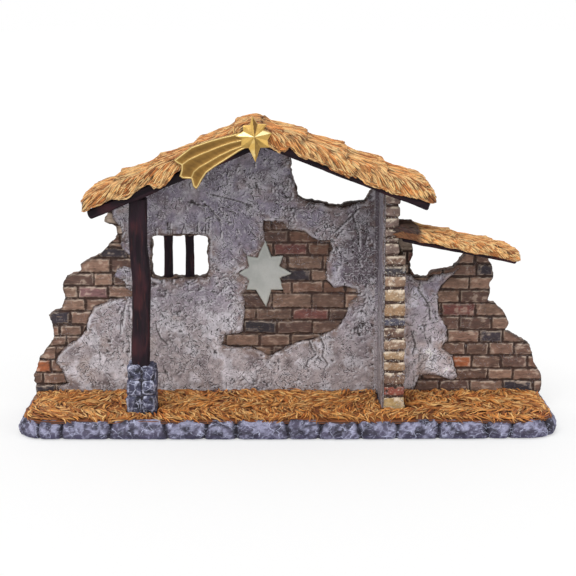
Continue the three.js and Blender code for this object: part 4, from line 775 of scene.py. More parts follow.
def wall_body(name, node, edges):
    """The masonry behind the faces: a broken edge all round and worn courses on its back."""
    sheet = Sheet(edges, MASONRY_CELL, wander=EDGE_WANDER, seed=MASONRY_SEED)
    spots = flat_points(sheet.a, sheet.b)
    beds = np.arange(3.6, 240, BRICK_HEIGHT)
    courses = [(bed, [bed % BRICK_RUN - BRICK_RUN / 2 * (n % 2)], {}) for n, bed in enumerate(beds)]
    low, high = span(node)
    rise, paint = lay_bricks(sheet.a, sheet.b, courses, (low[0] - 20, high[0] + 20), MASONRY_SEED)
    back = WALL_BACK - 0.9 * (1 - rise) - 0.1
    wash = mix(paint, MASONRY_BACK, 0.35 + 0.3 * rough(spots, 14, 3, MASONRY_SEED + 5))
    front = MORTAR_FACE + 0.5 + 0.3 * noise(spots, 4, MASONRY_SEED + 6)
    side = mix(MASONRY_SIDE, paint, 0.7)
    bed = tinted(MORTAR, np.full(sheet.count, 0.9))
    parts = two_faced(sheet, front, back, bed, wash, side, upright, rows=6, ragged=0.9, seed=MASONRY_SEED)
    return add_mesh(name, *parts, MATERIALS["masonry"], "brick", [node])


def brick_faces(name, node, edges, courses_by_reach):
    """The bare brick that shows in front of the mortar."""
    sheet = Sheet(edges, BRICK_CELL, wander=EDGE_WANDER, seed=MASONRY_SEED)
    rise = np.zeros(sheet.count)
    paint = np.zeros((sheet.count, 3))
    for reach, courses in courses_by_reach:
        part = (sheet.a >= reach[0]) & (sheet.a < reach[1])
        rise[part], paint[part] = lay_bricks(sheet.a[part], sheet.b[part], courses, reach, BRICK_SEED)
    front = MORTAR_FACE + 0.25 - (MORTAR_FACE - BRICK_FACE + 0.25) * rise
    inward = to_edges(edges, sheet.a, sheet.b)[0]
    # Bare brick is painted darker close to the plaster's edge, as painted shade where the plaster stands over
    # it
    paint = tinted(np.ones(3), 0.55 + 0.45 * smooth(inward, 0, 1.6)) * paint
    parts = two_faced(sheet, front, MORTAR_FACE + 1.2, paint, MORTAR, MASONRY_SIDE, upright, rows=2)
    return add_mesh(name, *parts, MATERIALS["brick"], "brick", [node], crease=60)


# Plaster

PLASTER_UPPER = ink(143, 135, 151)
PLASTER_LOWER = ink(172, 162, 165)
PLASTER_WARM = ink(160, 142, 130)
PLASTER_PALE = ink(208, 204, 212)
PLASTER_SHADE = ink(98, 86, 93)
PLASTER_DIRT = ink(122, 96, 80)
PLASTER_INK = ink(44, 34, 34)
PLASTER_EDGE = ink(84, 64, 54)
PLASTER_FLECK = ink(216, 212, 218)

# Long cracks and furrows, each a run of places on the wall
LONG_CRACKS = [
    [(50.7, 151.1), (44.9, 144.4), (38.3, 138.5), (34.6, 134.4)],
    [(47.8, 146.7), (50.1, 139.3), (52.4, 132.6), (51.7, 121.4)],
    [(15.7, 53.5), (17.9, 47.4), (20.9, 42.1), (15, 37.5), (12.7, 32.1)],
    [(24, 56), (27, 48), (25.5, 41), (30, 35)],
    [(-73.5, 157), (-65.4, 154.8), (-58.8, 154.1), (-55.2, 149.6), (-50.1, 143.7)],
    [(-98, 62), (-95, 55), (-90, 50)],
    [(-56.8, 162.6), (-46, 160), (-36, 157.5), (-26.2, 153.5)],
]
# Pits that were pressed deep into the main wall's plaster: each one's place and how wide it is
DEEP_PITS = [
    (-3.2, 164, 1.1), (-1.6, 161, 1.4), (1.5, 160.4, 1), (-5.8, 154, 1), (15.6, 156.4, 1.7),
    (18.4, 156, 1.2), (42.6, 155.6, 1.5), (45.6, 156, 1.2), (60, 161, 1.6), (-70.6, 157.8, 1.3),
    (-68.8, 156.4, 1), (-63, 158, 0.8), (-61, 155.6, 0.8), (-101, 96.8, 1.5), (-98.6, 95.8, 1.2),
    (-36, 151, 0.9), (-43, 142, 0.8), (47.8, 129, 0.9), (-93, 173, 1.2), (-88, 174, 0.9),
    (-9, 143, 0.8), (-76, 72, 0.9), (-60, 48, 1), (-20, 42, 0.9), (33, 38, 1),
]
# Plaster that clings to the bare brick left of the post
LEFT_PATCHES = [
    [(-128.7, 152.1), (-129.5, 145.3), (-126.3, 142.1), (-124.3, 139), (-122.3, 134.7), (-123.4, 129.4),
     (-123, 124.1), (-120.4, 119.8), (-117.8, 117.7), (-109.4, 116.9), (-108.7, 158.5)],
    [(-129.7, 101.6), (-127, 107), (-121.7, 108.6), (-116.6, 108), (-108.8, 107.9), (-109.1, 90.6),
     (-117.2, 90.9), (-120.9, 93), (-121.9, 97.3), (-126, 100.5)],
]
LEAN_TO_CRACKS = [
    [(97.8, 97.4), (96.4, 91.4), (101, 85.4), (104.8, 79.3), (105.7, 68.7)],
    [(92, 60), (95, 50), (93, 43)],
]


def scored(sheet, cracks, pits, furrows, count, seed):
    """How deeply each grid place is cut: clustered pits, short bent scratches, cracks, deep pits, furrows."""
    spots = flat_points(sheet.grid_a, sheet.grid_b)
    busy = smooth(noise(spots, 22, seed) + 0.7 * noise(spots, 9, seed + 1), -0.15, 0.75)
    field = 0.9 * smooth(rough(spots, 2.6, 3, seed + 2), 0.42, 0.85) * busy
    chance = np.random.default_rng(seed)
    low = np.array([sheet.a.min(), sheet.b.min()])
    high = np.array([sheet.a.max(), sheet.b.max()])
    for _ in range(count):
        centre = low + chance.random(2) * (high - low)
        heading = chance.random() * math.tau
        for _ in range(int(3 + 6 * chance.random())):
            spot = centre + chance.normal(size=2) * 3.2
            angle = heading + chance.normal() * 0.45
            bend = chance.normal() * 0.45
            step = 0.5 + 1.2 * chance.random()
            path = [spot]
            for _ in range(3):
                path.append(path[-1] + step * np.array([math.cos(angle), math.sin(angle)]))
                angle += bend
            stamp(field, sheet, path, 0.25 + 0.22 * chance.random(), 0.4 + 0.6 * chance.random())
    for crack in cracks:
        stamp(field, sheet, crack, 0.65, 1.0)
    for x, z, width in pits:
        stamp(field, sheet, [(x - 0.3 * width, z), (x + 0.4 * width, z - 0.3 * width)], width, 1.0)
    for x0, x1, z0, z1, number in furrows:
        for _ in range(number):
            start = np.array([x0 + (x1 - x0) * chance.random(), z0 + (z1 - z0) * chance.random()])
            reach = np.array([chance.normal() * 0.8, 4 + 7 * chance.random()])
            middle = start + reach / 2 + chance.normal(size=2) * 0.3
            stamp(field, sheet, [start, middle, start + reach], 0.45, 0.8)
    return field


def plaster_coat(name, node, edges, level, place, inner, cracks=(), pits=(), furrows=(), count=0, cell=0.7,
                 seed=0, extra=(), light=1.0, tone=(1, 1, 1)):
    """A coat of plaster over a wall face, scored and painted.

    Its face lies at a level and its back at inner. It has a number of clusters of scratches, besides the
    cracks, pits and furrows. Extra parts join its mesh. Its paint is as light as told, and turned to a tone.
    """
    sheet = Sheet(edges, cell, wander=0.9, seed=seed)
    cut_grid = scored(sheet, cracks, pits, furrows, count, seed)
    lower_side = np.roll(cut_grid, (1, -1), axis=(0, 1))
    beside = np.maximum(lower_side, np.roll(lower_side, (1, 0), axis=(0, 1)))
    halo_grid = np.clip(0.9 * beside - cut_grid, 0, 1)
    cut, halo = cut_grid[sheet.used], halo_grid[sheet.used]
    spots = flat_points(sheet.a, sheet.b)
    height = sheet.a if place is sideways else sheet.b
    trowel = 0.35 * rough(spots, 26, 3, seed + 20) + 0.22 * rough(spots, 6, 3, seed + 21)
    inward = to_edges(edges, sheet.a, sheet.b)[0]
    worn = bell(inward, 1.3)
    raised = bell(inward - 1.8, 0.8)
    toward = math.copysign(1, inner - level)
    front = level + toward * (0.35 - 0.35 * trowel + 0.5 * cut + 0.5 * worn - 0.25 * raised - 0.15 * halo)
    # Paler below, bluer and darker above: the darkening is painted shade under the roof, and again at the
    # upper right by the cross wall
    paint = mix(PLASTER_LOWER, PLASTER_UPPER, smooth(height + 10 * noise(spots, 30, seed + 22), 35, 120))
    if place is upright:
        beyond = smooth(sheet.a + 6 * noise(spots, 15, seed + 26), 30, 48)
        paint = mix(paint, PLASTER_SHADE, 0.9 * beyond * smooth(height, 85, 105))
    paint = mix(paint, PLASTER_SHADE, 0.6 * smooth(rough(spots, 9, 4, seed + 27), 0.1, 0.8))
    paint = mix(paint, PLASTER_WARM, 0.4 * smooth(rough(spots, 17, 3, seed + 23), 0.05, 0.9))
    raised_share = smooth(height + 8 * noise(spots, 20, seed + 31), 50, 110)
    pale = smooth(rough(spots, 9, 4, seed + 24) - 0.12 * raised_share, -0.02, 0.5)
    paint = mix(paint, PLASTER_PALE, mix(0.85, 0.5, raised_share) * pale)
    dirt = bell(inward, 6) * smooth(rough(spots, 5, 3, seed + 28), -0.5, 0.5)
    paint = mix(paint, PLASTER_DIRT, 0.75 * dirt)
    paint = tinted(tone, light + 0.28 * rough(spots, 3, 3, seed + 25)) * paint
    paint = mix(paint, PLASTER_FLECK, 0.6 * raised * smooth(noise(spots, 7, seed + 29), -0.2, 0.4))
    paint = mix(paint, PLASTER_FLECK, 0.75 * smooth(halo, 0.2, 0.6))
    paint = mix(paint, PLASTER_INK, 0.9 * smooth(cut, 0.2, 0.7))
    paint = mix(paint, PLASTER_EDGE, 0.8 * bell(inward, 0.8))
    parts = two_faced(sheet, front, inner, paint, PLASTER_LOWER, MASONRY_SIDE, place, rows=2, ragged=0.3,
                      seed=seed)
    return add_mesh(name, *merged([parts, *extra]), MATERIALS["plaster"], "plaster", [node], crease=60)


def without_holes(edges, nodes, reach):
    """Edges apart from those of the holes round some nodes."""
    for node in nodes:
        middle = np.mean(span(node), axis=0)[[0, 2]]
        edges = edges[np.linalg.norm(edges - middle, axis=2).max(axis=1) > reach]
    return edges


def corner_fillet():
    """Plaster run into the corner between the main wall and the cross wall."""
    low = span("cross_wall_plaster")[0]
    top = slope_height("roof_boards_right", low[0], True) - 1.5
    z = np.arange(low[2], top, 1.2)[:, None]
    section = np.array([
        (-2.4, 0.4), (-1.3, -0.2), (-0.6, -0.7), (-0.1, -1.4), (0.4, -2.6), (1.3, -1.6), (1.3, 1.3),
        (-1.8, 1.3),
    ])
    x = low[0] + section[:, 0] + 0 * z
    y = PLASTER_FRONT + section[:, 1] + 0 * z
    spots = np.stack([x, y, z + 0 * x], axis=-1)
    spots[..., 0] += 0.4 * noise(spots, 6, PLASTER_SEED)
    spots[..., 1] += 0.4 * noise(spots, 6, PLASTER_SEED + 1)
    # Paler below, bluer above, and darker at the top as painted shade under the roof
    paint = mix(PLASTER_LOWER, PLASTER_UPPER, smooth(spots[..., 2], 35, 120))
    paint = mix(paint, PLASTER_SHADE, 0.9 * smooth(spots[..., 2], 85, 105))
    return loft(spots, tinted(np.ones(3), 0.85 + 0.2 * rough(spots, 5, 3, PLASTER_SEED + 2)) * paint)


def build_walls():
    screws = [f"housing_screw_{n}" for n in range(1, 5)]
    main_edges = without_holes(face_edges("main_wall", 1, WALL_BACK, (0, 2)), screws, 4.5)
    lean_edges = face_edges("lean_to_wall", 1, WALL_BACK, (0, 2))
    main_plaster = face_edges("main_wall_plaster", 1, PLASTER_FRONT, (0, 2))
    lean_plaster = face_edges("lean_to_wall_plaster", 1, PLASTER_FRONT, (0, 2))
    wall_body("main_masonry", "main_wall", main_edges)
    wall_body("lean_to_masonry", "lean_to_wall", lean_edges)
    bare_main = np.concatenate([main_edges, main_plaster])
    bare_lean = np.concatenate([lean_edges, lean_plaster])
    low, high = span("main_wall")
    brick_faces("main_bricks", "main_wall", bare_main,
                [((low[0] - 5, PATCH_START), LEFT_COURSES), ((PATCH_START, high[0] + 5), PATCH_COURSES)])
    low, high = span("lean_to_wall")
    brick_faces("lean_to_bricks", "lean_to_wall", bare_lean, [((low[0] - 5, high[0] + 5), LEAN_TO_COURSES)])
    furrows = [(-30, -11, 55, 90, 32), (-103, -58, 131, 134, 14), (-128, -116, 40, 75, 12)]
    plaster_coat("main_coat", "main_wall_plaster", main_plaster, PLASTER_FRONT, upright, MORTAR_FACE + 0.4,
                 LONG_CRACKS, DEEP_PITS, furrows, 240, seed=PLASTER_SEED, extra=[corner_fillet()])
    for n, outline in enumerate(LEFT_PATCHES):
        plaster_coat(f"left_coat_{n + 1}", "main_wall_plaster", loop_edges(outline), PLASTER_FRONT - 0.4,
                     upright, MORTAR_FACE + 0.2, count=4, cell=0.55, seed=PLASTER_SEED + 60 + n)
    plaster_coat("lean_to_coat", "lean_to_wall_plaster", lean_plaster, PLASTER_FRONT, upright,
                 MORTAR_FACE + 0.4, LEAN_TO_CRACKS, count=50, seed=PLASTER_SEED + 40, light=1.75,
                 tone=(0.97, 1, 1.04))
    low, high = span("cross_wall_plaster")
    edges = face_edges("cross_wall_plaster", 0, low[0], (2, 1))
    plaster_coat("cross_wall_coat", "cross_wall_plaster", edges, low[0], sideways, high[0] + 0.2, count=90,
                 seed=PLASTER_SEED + 80, light=0.86)


# Stonework of the base

RIM_TOP_INSET = 9.0
STONE_DARK = ink(38, 34, 48)
STONE_MID = ink(80, 75, 96)
STONE_PALE = ink(170, 170, 198)
STONE_FOOT = ink(60, 56, 88)
JOINT_DARK = ink(30, 26, 36)
FRONT_JOINTS = [-158.1, -124.4, -84.8, -57.7, -36, 0, 21.9, 50, 76.1, 104.9, 139.3, 155.3]
SIDE_STONES = [31, 24, 38, 19, 33, 27, 22, 36]

BASE_LOW, BASE_HIGH = span("base_slab")
BASE_LENGTH = BASE_HIGH[0] - BASE_LOW[0]
CORNER_RADIUS = 25.0
FRONT_BOW = 4.0
BASE_DEPTH = 120.0


def base_perimeter():
    return 2 * (BASE_LENGTH + BASE_DEPTH) - 8 * CORNER_RADIUS + math.tau * CORNER_RADIUS


def base_edge(distance, inset):
    """Places along the base's edge, drawn in by an inset, from the front left corner round to the right."""
    sides = [size - 2 * CORNER_RADIUS for size in (BASE_LENGTH, BASE_DEPTH) * 2]
    arc = math.pi / 2 * CORNER_RADIUS
    rest = np.mod(distance, base_perimeter())
    x, y = np.zeros(rest.shape), np.zeros(rest.shape)
    start = 0.0
    for side, length in enumerate(sides):
        here = (rest >= start) & (rest < start + length + arc + 1e-9)
        local = rest - start
        turned = np.clip((local - length) / arc, 0, 1) * math.pi / 2
        across = (BASE_LENGTH if side % 2 else BASE_DEPTH) / 2 - CORNER_RADIUS
        radius = CORNER_RADIUS - inset
        run = np.minimum(local, length) - length / 2 + radius * np.sin(turned)
        out = -across - radius * np.cos(turned)
        angle = side * math.pi / 2
        x = np.where(here, run * math.cos(angle) - out * math.sin(angle), x)
        y = np.where(here, run * math.sin(angle) + out * math.cos(angle), y)
        start += length + arc
    bow = FRONT_BOW * (2 * x / BASE_LENGTH) ** 2 * (-2 * y / BASE_DEPTH)
    return x, np.where((x < 0) | (y > 0), y, y + bow)


def rim_joints():
    """Distances along the base's edge where one stone ends and the next begins."""
    half = BASE_LENGTH / 2 - CORNER_RADIUS
    joints = [x + half for x in FRONT_JOINTS]
    place = joints[-1]
    end = base_perimeter() + joints[0]
    n = 0
    while place + 14 < end:
        place += SIDE_STONES[n % len(SIDE_STONES)]
        joints.append(min(place, end))
        n += 1
    return np.array(joints[:-1] if end - joints[-1] < 12 else joints)


def base_rim():
    """The base with its rim of rough stones: rings round the edge, from the underside to below the straw."""
    station = 0.95
    stations = int(base_perimeter() / station)
    distance = np.arange(stations) / stations * base_perimeter()
    profile = np.array([
        (14, 0.5), (4, 0.5), (1.6, 0.7), (0.7, 1.6), (0.2, 3.2), (0, 5), (0.1, 7), (0.6, 9), (1.5, 11),
        (2.6, 13), (4, 14.3), (6, 14.6), (RIM_TOP_INSET, 13.4), (16, 12.2),
    ])
    marks = np.interp(np.linspace(0, 1, 30), np.linspace(0, 1, len(profile)), np.arange(len(profile)))
    inset = np.interp(marks, np.arange(len(profile)), profile[:, 0])
    rise = np.interp(marks, np.arange(len(profile)), profile[:, 1])
    joints = rim_joints()
    run = np.repeat(distance[:, None], len(rise), axis=1)
    slant = 0.22 * np.sin(np.arange(len(joints)) * 2.4)
    gap = np.full(run.shape, 99.0)
    for joint, lean in zip(joints, slant):
        away = np.abs(np.mod(run - joint - lean * (rise - 6) + base_perimeter() / 2, base_perimeter())
                      - base_perimeter() / 2)
        gap = np.minimum(gap, away)
    stone = np.searchsorted(joints, distance)
    own = hashed(np.stack([stone, stone, stone], -1), STONE_SEED)
    x, y = base_edge(run, np.broadcast_to(inset, run.shape))
    spots = np.stack([x, y, np.broadcast_to(rise, run.shape)], axis=-1)
    ridge, facet = cells(spots, 7.5, STONE_SEED)
    gap = gap + 0.5 * noise(spots, 4, STONE_SEED + 1)
    dome = smooth(gap, 0, 4)
    cut = bell(np.clip(gap, 0, None), 1.0)
    top_share = smooth(rise, 2, 10)[None, :]
    depth = (1.7 * cut + 0.9 * (1 - dome) + 0.9 * facet - 0.4 * bell(ridge, 0.12)
             + 0.35 * rough(spots, 5, 3, STONE_SEED + 2)) * smooth(-inset, -9, -4)[None, :]
    x, y = base_edge(run, np.clip(inset + depth, -0.3, None))
    sink = (1.3 * own[:, None] + 1.1 * cut + 1.2 * (1 - dome) + 0.7 * facet) * top_share
    z = rise - sink * (rise > 1) + 0.25 * noise(spots, 3, STONE_SEED + 3) * (rise > 1)
    shade = rough(spots, 6, 4, STONE_SEED + 4)
    paint = mix(STONE_DARK, STONE_MID, smooth(shade + 0.5 * facet + 0.3 * own[:, None], -0.3, 0.9))
    high = smooth(rough(spots, 3.2, 3, STONE_SEED + 5) + 0.4 * top_share, 0.25, 0.95) * smooth(gap, 0.8, 3)
    paint = mix(paint, STONE_PALE, 0.6 * high)
    paint = mix(paint, STONE_FOOT, 0.6 * (1 - smooth(rise, 1, 6))[None, :])
    paint = mix(paint, STONE_PALE, 0.6 * bell(ridge, 0.07) * smooth(shade, -0.4, 0.4))
    paint = mix(paint, JOINT_DARK, 0.92 * bell(np.clip(gap, 0, None), 1.5))
    rings = np.stack([x, y, z], axis=-1).transpose(1, 0, 2)
    parts = loft(rings, paint.transpose(1, 0, 2))
    return add_mesh("stone_rim", *parts, MATERIALS["stone"], "painted_stone", ["base_slab"], crease=60)


# Strands of straw and thatch

def strands(lines, ups, width, thick, colours, edge):
    """Tapered strands along lines of points: ridged above, flat below.

    They have one colour at each ring, darker by a share at the edges, as painted shade in the gaps between
    strands.
    """
    count, rings = lines.shape[:2]
    ahead = np.gradient(lines, axis=1)
    ahead /= np.linalg.norm(ahead, axis=2, keepdims=True) + 1e-9
    side = np.cross(ahead, ups)
    side /= np.linalg.norm(side, axis=2, keepdims=True) + 1e-9
    up = np.cross(side, ahead)
    taper = np.interp(np.linspace(0, 1, rings), [0, 0.25, 0.7, 1], [0.55, 1, 0.95, 0.3])[None, :, None]
    half_width = width[:, None, None] / 2 * taper
    half_thick = thick[:, None, None] / 2 * taper
    corners = [side * half_width, up * half_thick, -side * half_width]
    points = np.stack([lines + corner for corner in corners], axis=2)
    index = np.arange(count * rings * 3).reshape(count, rings, 3)
    near, far = index[:, :-1], index[:, 1:]
    quads = np.stack([near, far, np.roll(far, -1, 2), np.roll(near, -1, 2)], axis=-1).reshape(-1, 4)
    ends = np.concatenate([index[:, 0], index[:, -1, ::-1]])
    paint = np.repeat(colours[:, :, None, :], 3, axis=2)
    paint[:, :, [0, 2]] *= edge
    return points.reshape(-1, 3), [quads, ends], paint.reshape(-1, 3)


STRAW_DEEP = ink(112, 62, 32)
STRAW_SHADOW = ink(40, 27, 27)
STRAW_TONES = np.array([
    ink(228, 152, 78), ink(208, 130, 60), ink(240, 172, 98), ink(178, 102, 46), ink(246, 190, 122),
])
# How light a strand is from its root to its tip
STRAW_SHADES = np.array([0.5, 0.9, 1.1, 1.12, 0.95])
FRONT_STRAWS = 5200
BACK_STRAWS = 1100


def straw_mat(edges, solid, bottom, seed):
    """The dark lumpy mat under the strands of a straw bed."""
    sheet = Sheet(edges, 1.5, seed=seed)
    inward = to_edges(edges, sheet.a, sheet.b)[0]
    lumps = rough(flat_points(sheet.a, sheet.b) * [1, 0.5, 1], 6, 3, seed)
    upward = np.broadcast_to([0.0, 0.0, 1.0], (sheet.count, 3))
    bed = laid_on(solid, lying(sheet.a, sheet.b, np.full(sheet.count, bottom + 0.8)), upward, 8)[:, 2]
    top = bed - 0.9 - 0.8 * (1 - smooth(inward, 0, 5)) - 0.2 + 0.3 * lumps
    top = np.maximum(top, bottom + 0.15)
    paint = mix(STRAW_DEEP, STRAW_TONES[3], 0.4 * smooth(lumps, -0.4, 0.7))
    return two_faced(sheet, top, bottom - 1.8, paint, STRAW_DEEP, STRAW_SHADOW, lying, rows=2)


def straw_bed(name, node, count, seed):
    """A bed of short straw: a number of bright strands over the mat, most of which point forward."""
    chance = np.random.default_rng(seed)
    low, high = span(node)
    edges = face_edges(node, 2, low[2], (0, 1))
    solid = solid_tree(node)

    spread = low[:2] + chance.random((count * 2, 2)) * (high[:2] - low[:2])
    start = spread[crossings(edges, spread[:, 0], spread[:, 1])][:count]
    number = len(start)
    flow = 1.5 * noise(flat_points(start[:, 0], start[:, 1]) * [0.6, 1, 1], 17, seed + 1)
    angle = -math.pi / 2 + flow + chance.normal(size=number) * 0.2
    length = 6 + 6 * chance.random(number)
    bend = chance.normal(size=number) * 0.3
    rings = len(STRAW_SHADES)
    share = np.linspace(0, 1, rings)[None, :]
    heading = angle[:, None] + bend[:, None] * share
    x = start[:, :1] + length[:, None] * share * np.cos(heading)
    y = start[:, 1:] + length[:, None] * share * np.sin(heading)
    room = to_edges(edges, x.ravel(), y.ravel())[0].reshape(x.shape)
    room = np.where(crossings(edges, x.ravel(), y.ravel()).reshape(x.shape), room, -room)
    ups = np.broadcast_to([0.0, 0.0, 1.0], (number, rings, 3))
    base = laid_on(solid, np.stack([x, y, np.full(x.shape, low[2] + 0.8)], axis=-1), ups, 8)[..., 2]
    layer = chance.random(number)[:, None]
    z = base - 0.6 + 0.7 * layer + 0.4 * np.sin(share * math.pi) - 0.3 * share
    z = z - 1.9 * smooth(-room, -0.4, 1.8)
    lines = np.stack([x, y, z], axis=-1)
    valid = (room > -1.5).all(axis=1)
    tone = STRAW_TONES[chance.integers(0, len(STRAW_TONES), number)]
    tone = tone * ((0.52 + 0.78 * chance.random(number)) * (0.6 + 0.4 * layer[:, 0]))[:, None]
    colours = tone[:, None, :] * STRAW_SHADES[None, :, None]
    width = 1.05 + 0.5 * chance.random(number)
    parts = strands(lines[valid], ups[valid], width[valid], 0.8 * width[valid], colours[valid], 0.62)
    parts = merged([straw_mat(edges, solid, low[2], seed), parts])
    return add_mesh(name, *parts, MATERIALS["straw"], "straw", [node], crease=80)


# Dark brown under and between the strands, painted as shade
THATCH_DEEP = ink(74, 44, 24)
THATCH_TONES = np.array([
    ink(226, 162, 98), ink(208, 138, 76), ink(238, 182, 120), ink(190, 118, 60), ink(220, 146, 82),
    ink(234, 170, 104),
])
THATCH_CREAM = ink(250, 212, 150)
# The lean-to's thatch is painted darker at its left end: near black on top, and reddish brown on the lip as
# painted shade under the main roof
THATCH_END_DARK = ink(38, 28, 38)
THATCH_LIP_SHADE = ink(122, 76, 48)
# How light a strand is from its root to its tip: dark at the root, as painted shade where it tucks under the
# strands above
THATCH_SHADES = np.array([0.24, 0.5, 0.86, 1.08, 1.14, 0.8])

# How far the thatch's lip hangs below the underside of the boards, from place to place along X
LEFT_LIP = [
    (-141, 1.5), (-132, 1.3), (-126, 1.6), (-121, 0.9), (-116, 4.2), (-110.7, 5), (-104, 2.8), (-98.7, 0.4),
    (-94.3, 1.6), (-92, 6.5), (-88, 7.6), (-84, 7.2), (-80.6, 4), (-78, 0), (-74, -0.6), (-60, 1), (-48, 3),
    (-38, 2), (-28, 4), (-18, 5),
]
RIGHT_LIP = [
    (-18, 5), (-13, 5.6), (-9, 7.2), (-5, 6.8), (-1.5, 4.5), (0, -0.5), (3, -1), (5.4, 2.8), (11, 5.2),
    (16, 3.3), (21, 3), (26, 3.6), (31, 5.2), (42, 5.7), (47.5, 3.2), (52.5, 5.5), (59, 5.7), (65, 4.5),
    (71, 5.2), (77.5, 3.4), (84, 2.6), (90, 1.7), (99, 0.6), (102, 0.4),
]
LEAN_TO_LIP = [
    (79, 0), (88, 0), (91, 1), (95, 0.4), (103, -0.6), (107, -0.5), (112.5, 1.2), (117.5, 0.2), (122.6, 1.1),
    (127, 1.8), (131, 1.7), (135, 1.1), (142, 0), (149, 0.3), (153, 1.4), (158, 1.1), (162, 0.8),
]
# The thatch's section, from the back's foot over the top and down the front: how far along it each place
# is, the edge it is measured from, how far ahead of that edge, and its shares of the height and lip's drop
SECTION = [
    (0, "back", -0.8, -0.2, 0), (0.03, "back", -1.8, -0.05, 0), (0.06, "back", -1.2, 0.4, 0),
    (0.1, "back", 2, 1, 0), (0.76, "front", -7, 1, 0), (0.81, "front", -2.2, 0.95, 0),
    (0.85, "front", 1.4, 0.82, 0), (0.89, "front", 3.4, 0.58, 0), (0.93, "front", 3.9, 0.25, 0),
    (0.96, "front", 3.7, 0, 0.3), (1, "front", 2.2, 0, 1),
]
SECTION_LENGTH = 110.0
COURSE_LENGTH = 28.0
# How far the strands' bed sinks near the ridge, from place to place along X
RIDGE_EASE = {
    "thatch_left": [(-32, 0), (-25, 0.2), (-17.8, 1.8)],
    "thatch_right": [(-17.8, 3), (-9, 1.6), (5, 0)],
    "lean_to_thatch": [(79, 0), (162, 0)],
}
# Where the first course of each roof ends, as a share of a course
COURSE_STARTS = {"thatch_left": 0.64, "thatch_right": 0.07, "lean_to_thatch": 0.4}


class Roof:
    """A roof slope, whose thatch runs over the boards from the back and down the front lip."""

    def __init__(self, node, boards, inner, outer, thickness, drops, seed):
        board_low, board_high = span(boards)
        self.front, self.back = board_low[1], board_high[1]
        self.under = self.board_corners(boards)
        self.inner, self.outer = inner, outer
        self.down = math.copysign(1, outer - inner)
        self.thickness = thickness
        self.drops = np.array(drops)
        self.seed = seed
        self.solid = solid_tree(node)
        self.course_start = COURSE_STARTS[node]
        self.ease = np.array(RIDGE_EASE[node])

    @staticmethod
    def board_corners(boards):
        """The boards at each end along X: the place, the underside's front and back height, and how thick."""
        spots = corner_points(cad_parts[boards].data)
        ends = []
        for x in (spots[:, 0].min(), spots[:, 0].max()):
            column = spots[np.abs(spots[:, 0] - x) < 0.5]
            front = column[np.abs(column[:, 1] - spots[:, 1].min()) < 0.5]
            back = column[np.abs(column[:, 1] - spots[:, 1].max()) < 0.5]
            ends.append((x, front[:, 2].min(), back[:, 2].min(), front[:, 2].max() - front[:, 2].min()))
        return ends

    def underside(self, x, y):
        """The boards' underside. Past the ridge it falls again, so that strands may cross it."""
        (x0, front0, back0, _), (x1, front1, back1, _) = self.under
        folded = self.inner + self.down * np.abs(x - self.inner)
        share = (folded - x0) / (x1 - x0)
        deep = np.clip((y - self.front) / (self.back - self.front), 0, 1)
        return mix(front0 + (front1 - front0) * share, back0 + (back1 - back0) * share, deep)

    def surface(self, x, along):
        """A place on the thatch: along is 0 at the back's foot, and 1 under the front lip."""
        full = self.under[0][3] + self.thickness(x)
        drop = np.interp(x, self.drops[:, 0], self.drops[:, 1])
        marks = [row[0] for row in SECTION]
        edges = {"front": self.front, "back": self.back}
        y = np.interp(along, marks, [edges[row[1]] - row[2] for row in SECTION])
        rise = np.interp(along, marks, [row[3] for row in SECTION])
        lowered = np.interp(along, marks, [row[4] for row in SECTION])
        return np.stack([x, y, self.underside(x, y) + rise * full - lowered * drop], axis=-1)

    def normal(self, x, along):
        step = 0.01
        here = self.surface(x, along)
        forward = self.surface(x, np.clip(along + step, 0, 1)) - self.surface(x, np.clip(along - step, 0, 1))
        out = np.cross(forward, self.surface(x + 1.0, along) - here)
        return out / (np.linalg.norm(out, axis=-1, keepdims=True) + 1e-9)

    def laid(self, x, along):
        """Places on the solid's top, which follow the lip's line in front, and their outward directions."""
        spots = self.surface(x, along)
        out = self.normal(x, along)
        on_top = 1 - smooth(along, 0.84, 0.9)
        laid = mix(spots, laid_on(self.solid, spots, out, 5), on_top)
        laid[..., 2] -= np.interp(x, self.ease[:, 0], self.ease[:, 1]) * (1 - smooth(along, 0.82, 0.94))
        return laid, out

    def course_end(self, x):
        """The place along X where the course that a place lies in ends."""
        passed = np.maximum(self.down * (x - self.inner), 0) / COURSE_LENGTH - self.course_start
        return self.inner + self.down * COURSE_LENGTH * (np.ceil(passed + 0.12) + self.course_start)


def thatch_core(roof):
    """The carved thatch under the strands: rings along the slope, painted dark brown as painted shade in the
    gaps between strands.
    """
    stations = int(abs(roof.outer - roof.inner) / 1.3)
    xs = np.linspace(roof.outer - roof.down * 0.8, roof.inner, stations)
    x, t = np.meshgrid(xs, np.linspace(0, 1, 64), indexing="ij")
    top, out = roof.laid(x, t)
    top = top + out * (0.3 * rough(top, 5, 3, roof.seed) - 0.8)[..., None]
    boards = roof.under[0][3]
    inside = []
    lining = [(roof.front - 0.3, -0.2), (roof.front - 0.3, boards + 0.3), (roof.back + 0.3, boards + 0.3),
              (roof.back + 0.3, -1.6)]
    for level, rise in lining:
        y = np.full(stations, level)
        inside.append(np.stack([xs, y, roof.underside(xs, y) + rise], -1))
    rings = np.concatenate([top, np.stack(inside, axis=1)], axis=1)
    if roof.down < 0:
        rings = rings[:, ::-1]
    shade = rough(rings, 4, 3, roof.seed + 2)
    return loft(rings, mix(THATCH_DEEP, THATCH_TONES[3], 0.5 * smooth(shade, -0.2, 0.9)))


